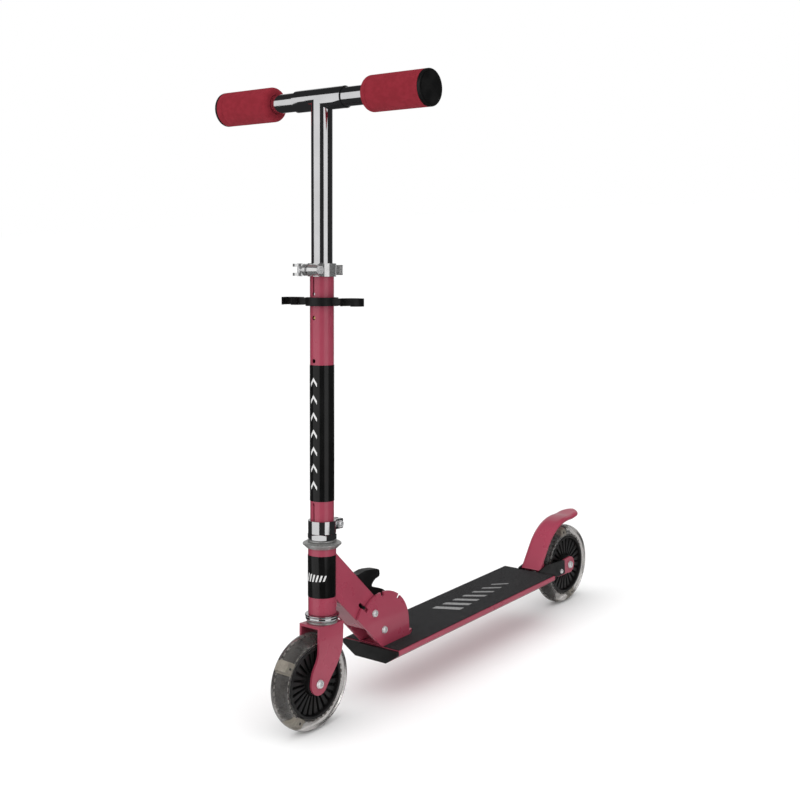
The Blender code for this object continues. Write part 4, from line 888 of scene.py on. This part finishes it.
# %% Deck pieces
WORLD = Matrix.Scale(MM, 4)
DECK_PIECES = [
    ("deck_shell", "extruded_deck", "raspberry_paint", 0.6),
    ("grip_tape", "grit_sheet", "grit_tape", 0.3),
    ("front_end_cap", "moulded_front_cap", "black_plastic", 0.8),
    ("rear_fork", "bent_rear_fork", "raspberry_paint", 0.5),
]
for node, name, finish_name, width in DECK_PIECES:
    show(node, WORLD)
    finished(soften(from_node(node, WORLD), width, 3), name, finish_name, WORLD, [node])

# %% [markdown]
# ### Rear cover
#
# The rear cover's cheeks hide the fork's arms as far as the screws. Each cheek gets a strip along
# its top edge, so that no paint shows above it, and its front corner is cut down to the deck.

# %% Rear cover
CHEEK_INSIDE, CHEEK_OUTSIDE = 16.8, 19.3
show("rear_cover", WHEELS["rear"])
strip = [(-75.0, 12.0), (-75.0, 17.0), (-60.0, 16.6), (-22.5, 13.4), (-18.6, 11.8), (-18.6, 3.0)]
strip.append((-30.0, 3.0))
corner = [(-95.0, 11.4), (-95.0, 30.0), (-50.0, 30.0), (-50.0, 24.0), (-66.0, 17.2)]
strips = [plate(strip, *sorted((side * CHEEK_INSIDE, side * CHEEK_OUTSIDE))) for side in (1, -1)]
cover = combined(from_node("rear_cover", WHEELS["rear"]), strips, [plate(corner, -50, 50)])
finished(soften(cover, 0.6, 3, 40), "moulded_rear_cover", "black_plastic", WHEELS["rear"], ["rear_cover"])

# %% [markdown]
# ### Stripes on the deck
#
# The deck carries a plain ornament in silver: slanted bars that get thinner towards the rear. Each
# is a thin sheet just above the tape.

# %% Deck stripes
tape_top = span("grip_tape", WORLD)[1].z
STRIPES, STRIPE_PITCH, SLANT = 7, 21.0, 8.0
stripes = []
for i in range(STRIPES):
    middle, wide, tall = -10 + STRIPE_PITCH * i, 10.0 - 1.0 * i, 18.0 - 1.4 * i
    front, rear = middle - SLANT, middle + SLANT
    corners = [(-tall, front), (-tall, front + wide), (tall, rear + wide), (tall, rear)]
    stripes.append(plate(rounded(corners, 1.0), tape_top - 0.05, tape_top + 0.12, "Z"))
finished(together(*stripes), "deck_stripes", "silver_print", WORLD, body="deck")

# %% [markdown]
# ## Fender brake
#
# The fender is pressed from sheet: a shallow channel with sloping shoulders that follows the wheel
# and flicks up at the rear, where a heel pushes it down. A grid is bent to that shape row by row.
# Its last rows shrink to the tip, so that the lip runs on round it. Solidify gives the sheet its
# wall and Subdivision Surface smooths it. Two ears hold its pin.

# %% Fender
FENDER_RADIUS, FENDER_SHEET = 76.0, 2.0
FENDER_START, FENDER_END = 143.0, 82.0
FENDER_HALF, FENDER_LIP = 16.5, 6.0
FENDER_STEPS, TIP_STEPS = 12, 9
TIP_RISE, TIP_REACH, TIP_LIP = 6.0, 27.0, 3.0
EAR_RADIUS, EAR_INSIDE, EAR_OUTSIDE, EAR_HOLE = 8.0, 6.0, 12.6, 3.3


def fender_rows():
    """Places along the fender with the way to the wheel, its half width and its lip's depth."""
    start, inwards = Vector(polar(FENDER_RADIUS, FENDER_START)), -Vector(polar(1, FENDER_START))
    down = Vector(polar(1, FENDER_START + 90))
    rows = [(start + run * down, inwards, FENDER_HALF, FENDER_LIP) for run in (41.0, 40.0, 30.0, 18.0, 7.0)]
    for i in range(FENDER_STEPS + 1):
        angle = FENDER_START + (FENDER_END - FENDER_START) * i / FENDER_STEPS
        rows.append((Vector(polar(FENDER_RADIUS, angle)), -Vector(polar(1, angle)), FENDER_HALF, FENDER_LIP))
    end, back, inwards = rows[-1][0], Vector(polar(1, TIP_RISE)), Vector(polar(1, TIP_RISE - 90))
    for i in range(1, TIP_STEPS + 1):
        turn = math.radians(90 * i / TIP_STEPS)
        run = TIP_REACH - FENDER_HALF + FENDER_HALF * math.sin(turn)
        lip = FENDER_LIP - TIP_LIP * i / TIP_STEPS
        rows.append((end + run * back, inwards, FENDER_HALF * math.cos(turn), lip))
    return rows


def fender():
    rows = fender_rows()
    section = [(1.0, 1.0), (1.0, 0.48), (0.955, 0.30), (0.74, 0.06), (0.62, 0.0), (0.0, 0.0)]
    columns = 2 * (len(section) - 1)
    bm = bmesh.new()
    bmesh.ops.create_grid(bm, x_segments=columns, y_segments=len(rows) - 1, size=1)
    for vert in bm.verts:
        column, row = round((vert.co.x + 1) / 2 * columns), round((vert.co.y + 1) / 2 * (len(rows) - 1))
        place, inwards, half, lip = rows[row]
        across, depth = section[min(column, columns - column)]
        sign = 1 if column <= columns // 2 else -1
        vert.co = (sign * across * half, *(place + inwards * depth * lip))
    bmesh.ops.remove_doubles(bm, verts=bm.verts, dist=1e-3)
    bmesh.ops.recalc_face_normals(bm, faces=bm.faces)
    if sum(face.normal.z for face in bm.faces) < 0:
        bmesh.ops.reverse_faces(bm, faces=bm.faces)
    made = finished(bm, "pressed_fender", "raspberry_paint", WHEELS["rear"], ["brake_fender"])
    wall = made.modifiers.new("Sheet", "SOLIDIFY")
    wall.thickness, wall.offset = FENDER_SHEET * MM, -1
    finer = made.modifiers.new("Smooth press", "SUBSURF")
    finer.levels = finer.render_levels = 2
    made.modifiers.move(0, 2)
    ears = []
    pin = WHEELS["rear"].inverted() @ BRAKE.translation
    bend = Vector(polar(FENDER_RADIUS - FENDER_SHEET / 2, FENDER_START)) - pin.yz
    down = Vector(polar(1, FENDER_START + 90))
    outline = arc(EAR_RADIUS, 190, 350, 20) + [tuple(bend + 12 * down), tuple(bend + 27 * down)]
    for side in (1, -1):
        ear = plate(outline, *sorted((side * EAR_INSIDE, side * EAR_OUTSIDE)))
        ears.append(soften(combined(ear, cut=[rod(EAR_HOLE, (-30, 0, 0), (30, 0, 0))]), 0.5))
    finished(together(*ears), "fender_ears", "raspberry_paint", BRAKE, body="brake")


fender()

# %% [markdown]
# ## Lower tube, sticker and band
#
# The painted lower tube is slit at both ends so that its clamps can squeeze it, and each slit ends
# in a round hole, which stops it from tearing. Round holes further up take the snap button.

# %% Lower tube
TUBE_RADIUS, TUBE_BORE, SLIT_HALF, SLIT_HOLE = 14.3, 13.0, 1.0, 2.2
LOWER_SLIT, UPPER_SLIT = 36, 34
BUTTON_DROPS, BUTTON_HOLE = (62, 113), 2.6


def lower_tube():
    low, high = span("lower_tube", COLUMN)
    wall = [(TUBE_RADIUS, high.z), (TUBE_RADIUS, low.z), (TUBE_BORE, low.z), (TUBE_BORE, high.z)]
    slit_ends = low.z + LOWER_SLIT, high.z - UPPER_SLIT
    slits = (low.z - PAST, slit_ends[0]), (slit_ends[1], high.z + PAST)
    cuts = [block((-SLIT_HALF, -20, start), (SLIT_HALF, -7, end)) for start, end in slits]
    holes = [(height, SLIT_HOLE) for height in slit_ends]
    for height, radius in holes + [(high.z - drop, BUTTON_HOLE) for drop in BUTTON_DROPS]:
        cuts.append(rod(radius, (0, -20, height), (0, -7, height), sides=32))
    body = combined(spun(wall, sides=FINE_SIDES), cut=cuts)
    finished(soften(body, 0.18, 2, 40), "slit_lower_tube", "raspberry_paint", COLUMN, ["lower_tube"])


lower_tube()

# %% [markdown]
# ### Gloss sleeves and their ornaments
#
# Two black gloss stickers wrap the column. Plain ornaments take the place of any wording: a stack
# of chevrons on the long one and slanted bars on the short one. An ornament is drawn flat,
# sliced into narrow strips so that it can bend, and then wrapped round the tube.

# %% Sleeves
def wrapped(bm, radius, turn=0.0):
    """Bends a flat shape round the front of a tube. Its X becomes the way round."""
    low, high = min(v.co.x for v in bm.verts), max(v.co.x for v in bm.verts)
    cuts = max(2, round((high - low) / 0.8))
    bmesh.ops.triangulate(bm, faces=bm.faces)
    for i in range(1, cuts):
        bmesh.ops.bisect_plane(
            bm, geom=bm.verts[:] + bm.edges[:] + bm.faces[:], dist=1e-4,
            plane_co=(low + (high - low) * i / cuts, 0, 0), plane_no=(1, 0, 0),
        )
    for vert in bm.verts:
        angle, distance = vert.co.x / radius + turn, radius - vert.co.y
        vert.co.x, vert.co.y = distance * math.sin(angle), -distance * math.cos(angle)
    return bm


low, high = span("column_sticker", COLUMN)
sleeve = [(high.x, high.z), (high.x, low.z), (high.x - 0.3, low.z), (high.x - 0.3, high.z)]
finished(spun(sleeve, sides=FINE_SIDES), "gloss_sleeve", "gloss_film", COLUMN, ["column_sticker"])
finished(from_node("head_band", COLUMN), "gloss_band", "gloss_film", COLUMN, ["head_band"])

# %% Chevrons and bars
CHEVRONS, CHEVRON_PITCH, CHEVRON_HALF = 7, 20.6, 4.8
BARS, BAR_PITCH, BARS_LEFT, BARS_TURN = 6, 4.7, -14.0, 0.25
INK = 0.06  # half the thickness of the print
chevrons = []
for i in range(CHEVRONS):
    middle = high.z - 20 - CHEVRON_PITCH * i
    foot, shoulder = middle - 5.6, middle - 1.4
    corners = [(-CHEVRON_HALF, foot), (-CHEVRON_HALF, shoulder), (0, middle + 5.6)]
    corners += [(CHEVRON_HALF, shoulder), (CHEVRON_HALF, foot), (0, middle + 1.4)]
    chevrons.append(wrapped(plate(corners, -INK, INK, "Y"), high.x))
finished(together(*chevrons), "column_chevrons", "white_print", COLUMN, body="steering")
band_low, band_high = span("head_band", COLUMN)
middle = (band_low.z + band_high.z) / 2 - 1.0
bars = []
for i in range(BARS):
    left, tall = BARS_LEFT + BAR_PITCH * i, 5.2 - 0.35 * i
    foot, top = middle - tall, middle + tall
    corners = [(left, foot), (left + 2.2, foot), (left + 4.8, top), (left + 2.6, top)]
    bars.append(wrapped(plate(corners, -INK, INK, "Y"), band_high.x, BARS_TURN))
finished(together(*bars), "head_band_bars", "white_print", COLUMN, body="neck")

# %% [markdown]
# ## Clamps
#
# The lower clamp is a polished band with two ears and a bolt. The upper one opens without tools: a
# cam lever pulls a cross pin, and a long boss on the other side takes the bolt's end.

# %% Lower clamp
CLAMP_RADIUS, CLAMP_BORE, CLAMP_GAP_HALF, LOWER_BOLT_AT = 16.9, 14.6, 1.5, 24
low, high = span("lower_clamp", COLUMN)
bolt_line = (LOWER_BOLT_AT, (low.z + high.z) / 2)
ears = block((-6.8, CLAMP_BORE, low.z + 1.5), (6.8, high.y, high.z - 1.5))
clamp = combined(
    post(CLAMP_RADIUS, low.z, high.z, sides=FINE_SIDES), [soften(ears, 1.4, 3)],
    [
        drill(CLAMP_BORE, low.z, high.z, sides=FINE_SIDES),
        block((-CLAMP_GAP_HALF, 5, low.z - PAST), (CLAMP_GAP_HALF, high.y + PAST, high.z + PAST)),
        rod(M6_HOLE, (-20, *bolt_line), (20, *bolt_line), sides=32),
    ],
)
finished(soften(clamp, 0.35, 2), "band_clamp", "chrome_plate", COLUMN, ["lower_clamp"])
bolt("lower_clamp_bolt", M6_SHANK, COLUMN, head=4.0)
hex_nut("lower_clamp_nut", M6_HOLE, COLUMN)

# %% Upper clamp
FORWARD, CAM_HOLE, CROSS_AT, CROSS_HOLE = -21.5, 2.8, -15.2, 3.3
low, high = span("upper_clamp", COLUMN)
line = (FORWARD, (low.z + high.z) / 2)
clamp = combined(
    post(CLAMP_RADIUS, low.z, high.z, sides=FINE_SIDES),
    [
        rod(6.6, (0, *line), (high.x, *line), 5.4),
        rod(6.8, (-6.1, *line), (0.5, *line)),
        soften(block((-5.7, FORWARD, low.z + 1), (high.x - 4, -10, high.z - 1)), 0.8),
    ],
    [
        drill(CLAMP_BORE, low.z, high.z, sides=FINE_SIDES),
        block((-CLAMP_GAP_HALF, FORWARD - 20, low.z - PAST), (CLAMP_GAP_HALF, -5, high.z + PAST)),
        rod(CAM_HOLE, (-40, *line), (40, *line), sides=32),
    ],
)
finished(soften(clamp, 0.35, 2), "cam_clamp", "cast_chrome", COLUMN, ["upper_clamp"])
low, high = span("clamp_bolt", COLUMN)
shaft = rod(2.5, (low.x + 2, *line), (high.x, *line), sides=32)
cross = post(3.0, low.z, high.z, CROSS_AT, FORWARD, sides=32)
finished(soften(combined(shaft, [cross]), 0.3, 2), "cross_bolt", "bright_steel", COLUMN, ["clamp_bolt"])
hex_nut("clamp_nut", CAM_HOLE, COLUMN)

# %% [markdown]
# ### Cam lever
#
# The lever is a casting: a forked head that turns on the cross pin, and a flat arm that lies round
# the tube. Four ribs on each face near its tip stop a thumb from slipping.

# %% Cam lever
ARM_HALF, RIB_RADIUS, RIB_HALF, FORK_HALF = 2.2, 0.55, 4.6, 3.6
ARM_ROUTE = [(-21.5, -16.0), (-24.2, -6.0), (-24.6, 4.0), (-22.8, 15.0), (-18.0, 27.0), (-9.0, 39.0)]
ARM_ROUTE.append((-5.5, 42.5))
low, high = span("clamp_lever", COLUMN)
middle = (low.z + high.z) / 2
head = (CROSS_AT, FORWARD)
route = [Vector(point) for point in smooth(ARM_ROUTE, 6)]
outer, inner = [], []
for i, here in enumerate(route):
    along = (route[min(i + 1, len(route) - 1)] - route[max(i - 1, 0)]).normalized()
    side = Vector((-along.y, along.x)) * ARM_HALF
    outer.append(tuple(here + side))
    inner.append(tuple(here - side))
arm = soften(plate(rounded(outer + inner[::-1], 1.4), middle - 6, middle + 6, "Z"), 0.9, 3, 50)
lever = combined(
    post(8.5, low.z, high.z, *head), [arm],
    [
        post(9.4, middle - FORK_HALF, middle + FORK_HALF, *head),
        drill(CROSS_HOLE, low.z, high.z, *head, sides=40),
    ],
)
finished(soften(lever, 0.5, 2, 40), "cam_lever", "cast_chrome", COLUMN, ["clamp_lever"])
ribs = []
for i in (-3, -6, -9, -12):
    along = (route[i + 1] - route[i - 1]).normalized()
    for sign in (1, -1):
        x, y = route[i] + sign * ARM_HALF * Vector((-along.y, along.x))
        rib = post(RIB_RADIUS, middle - RIB_HALF, middle + RIB_HALF, x, y, sides=10)
        ribs.append(soften(rib, 0.2, 1))
finished(together(*ribs), "cam_lever_ribs", "cast_chrome", COLUMN, body="clamp_lever")

# %% [markdown]
# ## Handle holder
#
# A plastic clip on the tube keeps the loose handles when the scooter is packed away: a collar, an
# arm to each side and an open ring at the end of each arm.

# %% Handle holder
low, high = span("handle_holder", COLUMN)
REACH, MOUTH, CLIP_RADIUS, CLIP_BORE, COLLAR_RADIUS = 48.0, 7.5, 13.8, 11.3, 19.5
joins = [soften(block((-REACH, -3.5, low.z + 0.8), (REACH, 3.5, high.z - 0.8)), 0.8)]
joins += [post(CLIP_RADIUS, low.z + 0.4, high.z - 0.4, x) for x in (-REACH, REACH)]
cuts = [drill(CLAMP_BORE, low.z, high.z)]
for x in (-REACH, REACH):
    cuts.append(drill(CLIP_BORE, low.z, high.z, x))
    cuts.append(block((x - MOUTH, -30, low.z - PAST), (x + MOUTH, 0, high.z + PAST)))
holder = combined(post(COLLAR_RADIUS, low.z, high.z), joins, cuts)
finished(soften(holder, 0.5, 2, 40), "clip_holder", "black_plastic", COLUMN, ["handle_holder"])

# %% [markdown]
# ## Stem and handlebar
#
# The chromed stem slides in the lower tube, and a cross sleeve is welded to its top. The loose
# handles push into the sleeve, and a snap button holds each. Mirrors show every facet, so these
# tubes are spun with many sides.

# %% Stem and cross sleeve
low, high = span("stem_tee", COLUMN)
BAR_AT, BUTTON_AT, BAR_BUTTON_X = 622.6, 369.0, 20.0
STEM_RADIUS, SLEEVE_HALF, SLEEVE_BORE, STEM_WALL = 12.7, 38.0, 11.4, 1.5
sleeve_end, bore_top = SLEEVE_HALF + PAST, BAR_AT - STEM_RADIUS - 3
holes = [rod(BUTTON_HOLE, (0, -20, BUTTON_AT), (0, -6, BUTTON_AT), sides=32)]
holes += [rod(BUTTON_HOLE, (x, 6, BAR_AT), (x, 20, BAR_AT), sides=32) for x in (-BAR_BUTTON_X, BAR_BUTTON_X)]
stem = combined(
    post(STEM_RADIUS, low.z, BAR_AT, sides=128),
    [rod(STEM_RADIUS + 0.02, (-SLEEVE_HALF, 0, BAR_AT), (SLEEVE_HALF, 0, BAR_AT), sides=120)],
    [
        rod(SLEEVE_BORE, (-sleeve_end, 0, BAR_AT), (sleeve_end, 0, BAR_AT), sides=FINE_SIDES),
        post(STEM_RADIUS - STEM_WALL, low.z - PAST, bore_top, sides=FINE_SIDES),
        *holes,
    ],
)
finished(soften(stem, 0.25, 2, 40), "chrome_stem", "chrome_plate", COLUMN, ["stem_tee"])

# %% [markdown]
# ### Handles
#
# Each handle is a chromed bar with a foam grip and a plastic end cap. The foam is a tube with a
# well-rounded inner end and one pressed line round it.

# %% Handles
GRIP_ROUND, GRIP_BORE, BAR_WALL = 6.0, 11.4, 1.5
for name, side in (("left", 1), ("right", -1)):
    place = COLUMN @ Matrix.Translation((0, 0, BAR_AT))
    if side < 0:
        place = place @ Matrix.Rotation(math.pi, 4, "Z")
    low, high = span(name + "_bar", place)
    bore = high.y - BAR_WALL
    bar = [(high.y, high.x), (high.y, low.x), (bore, low.x), (bore, high.x)]
    bar = spun(rounded(bar, 0.3, 2), "X", sides=120)
    hole = rod(BUTTON_HOLE, (BAR_BUTTON_X, 4 * side, 0), (BAR_BUTTON_X, 20 * side, 0), sides=32)
    body = combined(bar, cut=[hole])
    finished(body, name + "_chrome_bar", "chrome_plate", place, [name + "_bar"])
    low, high = span(name + "_grip", place)
    line_at = low.x + 9.0 if side > 0 else high.x - 8.0
    grip = [(high.y, high.x), (high.y, line_at + 0.9), (high.y - 0.7, line_at), (high.y, line_at - 0.9)]
    grip += [(high.y - GRIP_ROUND + b, low.x + GRIP_ROUND - a) for a, b in arc(GRIP_ROUND, 90, 0, 8)]
    grip += [(GRIP_BORE, low.x), (GRIP_BORE, high.x)]
    foam = spun(grip, "X", sides=FINE_SIDES)
    foam = finished(foam, name + "_foam_grip", "red_foam", place, [name + "_grip"])
    low, high = span(name + "_end_cap", place)
    rim, end = high.y, high.x
    cap = [(0, end), (rim - 3.0, end), (rim - 3.6, end - 0.3), (rim - 2.4, end - 0.3), (rim - 1.8, end)]
    cap += [(rim - 0.6, end), (rim, end - 0.7), (rim, end - 3.5), (9.3, end - 3.5), (9.3, low.x), (0, low.x)]
    cap = spun(rounded(cap, 0.4, 2, closed=False), "X", ring=False, sides=FINE_SIDES)
    finished(cap, name + "_moulded_end_cap", "black_plastic", place, [name + "_end_cap"])

# %% [markdown]
# ## Pieces that stay as the frame has them
#
# The brake's spring and pin and the snap buttons already have the right shape at their size. They
# only need a finish, which goes into their material slots.

# %% Finishes for the CAD nodes that still show
CARRIED = {
    "brake_spring": "zinc_plate", "brake_pin": "zinc_plate",
    "height_button": "brass_pin", "left_bar_button": "brass_pin", "right_bar_button": "brass_pin",
}
for node, finish_name in CARRIED.items():
    made, slot = FINISHES[finish_name]
    materials = frame["nodes"][node].data.materials
    if not materials:
        materials.append(made)
    for i in range(len(materials)):
        materials[i] = made
showing = [name for name, node in frame["nodes"].items() if not node.hide_render]
print("CAD nodes that show:", sorted(showing))
assert set(showing) == set(CARRIED), "a CAD node is showing without a finish"

# %% [markdown]
# ## Floor
#
# A plain pale floor without a horizon: it is a wide disc with hardly any pattern, and it has no gloss
# of its own, since a glossy floor would show the edge of the room as a line.

# %% Floor
floor = bmesh.new()
bmesh.ops.create_circle(floor, cap_ends=True, segments=96, radius=30.0)
floor = as_object(floor)
floor.name = "floor"
pale = bpy.data.materials.new("pale_floor")
pale.use_nodes = True
shader = pale.node_tree.nodes["Principled BSDF"]
tone = ramp(pale.node_tree, pattern(pale.node_tree, 3.0), [(0.955, 0.955, 0.955), (0.965, 0.965, 0.965)])
pale.node_tree.links.new(tone, shader.inputs["Base Color"])
shader.inputs["Roughness"].default_value = 0.6
shader.inputs["Specular IOR Level"].default_value = 0.0
floor.data.materials.append(pale)

# %% [markdown]
# ### The floor in reflections
#
# Paint near the floor mirrors it, which is why the underside of the neck looks pale. Chrome higher
# up would mirror the floor far away and turn flat white, so a glossy ray that has come a long way
# passes through the floor, to the panels and the dim room. A short one finds half of the floor.

# %% The floor in reflections
FAR, NEAR_SHARE = 0.32, 0.45
tree = pale.node_tree
paths = tree.nodes.new("ShaderNodeLightPath").outputs


def fed(tree, kind, sources=(), operation=None):
    """A new shader node. Its inputs take a list of outputs and values, in order."""
    made = tree.nodes.new("ShaderNode" + kind)
    if operation:
        made.operation = operation
    for socket, source in zip(made.inputs, sources):
        if isinstance(source, bpy.types.NodeSocket):
            tree.links.new(source, socket)
        else:
            socket.default_value = source
    return made.outputs[0]


far = fed(tree, "Math", [paths["Ray Length"], FAR], "GREATER_THAN")
share = fed(tree, "Math", [far, NEAR_SHARE, 1 - NEAR_SHARE], "MULTIPLY_ADD")
passing = fed(tree, "Math", [share, paths["Is Glossy Ray"]], "MULTIPLY")
surface = fed(tree, "MixShader", [passing, shader.outputs["BSDF"], fed(tree, "BsdfTransparent")])
tree.links.new(surface, tree.nodes["Material Output"].inputs["Surface"])
print("glossy rays pass the floor beyond", FAR, "m")

# %% [markdown]
# ### Lights and room
#
# Big soft lights, as in a product studio. Chrome shows nothing but its surroundings, so they are laid
# out for it: two tall panels in front with dark room between them, one behind, and one overhead. The
# camera sees a white room, and reflections see a dim one.

# %% Lights
MIDDLE = Vector((0, 0, 0.42))


def panel(name, bearing_degrees, distance, height, size, glow):
    """A soft panel seen from the scooter at a bearing from the camera, positive to its right."""
    angle = math.radians(bearing_degrees)
    out = Vector((backward.x, backward.y, 0)).normalized() * math.cos(angle) + level * math.sin(angle)
    lamp = bpy.data.lights.new(name, "AREA")
    lamp.shape = "RECTANGLE"
    lamp.size, lamp.size_y = size
    lamp.energy = glow * math.pi * size[0] * size[1]
    obj = bpy.data.objects.new(name, lamp)
    bpy.context.scene.collection.objects.link(obj)
    obj.location = out * distance + Vector((0, 0, height))
    obj.rotation_euler = (MIDDLE - obj.location).to_track_quat("-Z", "Y").to_euler()
    obj.visible_camera = False
    return obj


panel("left_panel", -54, 2.3, 0.9, (3.0, 2.6), 0.75)
panel("right_panel", 40, 2.3, 0.9, (1.8, 2.6), 0.8)
panel("back_panel", 180, 2.8, 1.0, (3.6, 2.6), 0.5).visible_diffuse = False
overhead = bpy.data.lights.new("overhead", "SUN")
overhead.energy, overhead.angle = 2.05, math.radians(100)
overhead = bpy.data.objects.new("overhead", overhead)
bpy.context.scene.collection.objects.link(overhead)
overhead.rotation_euler = (math.radians(12), math.radians(8), 0)
overhead.visible_glossy = overhead.visible_camera = False

# %% Room
room = bpy.data.worlds.new("room")
bpy.context.scene.world = room
room.use_nodes = True
tree = room.node_tree
paths = tree.nodes.new("ShaderNodeLightPath").outputs
around, mirrored, seen = (
    fed(tree, "Background", [(*colour, 1)])
    for colour in ((0.42, 0.42, 0.42), (0.025, 0.025, 0.026), (1, 1, 1))
)
dim = fed(tree, "MixShader", [paths["Is Glossy Ray"], around, mirrored])
result = fed(tree, "MixShader", [paths["Is Camera Ray"], dim, seen])
tree.links.new(result, tree.nodes["World Output"].inputs["Surface"])
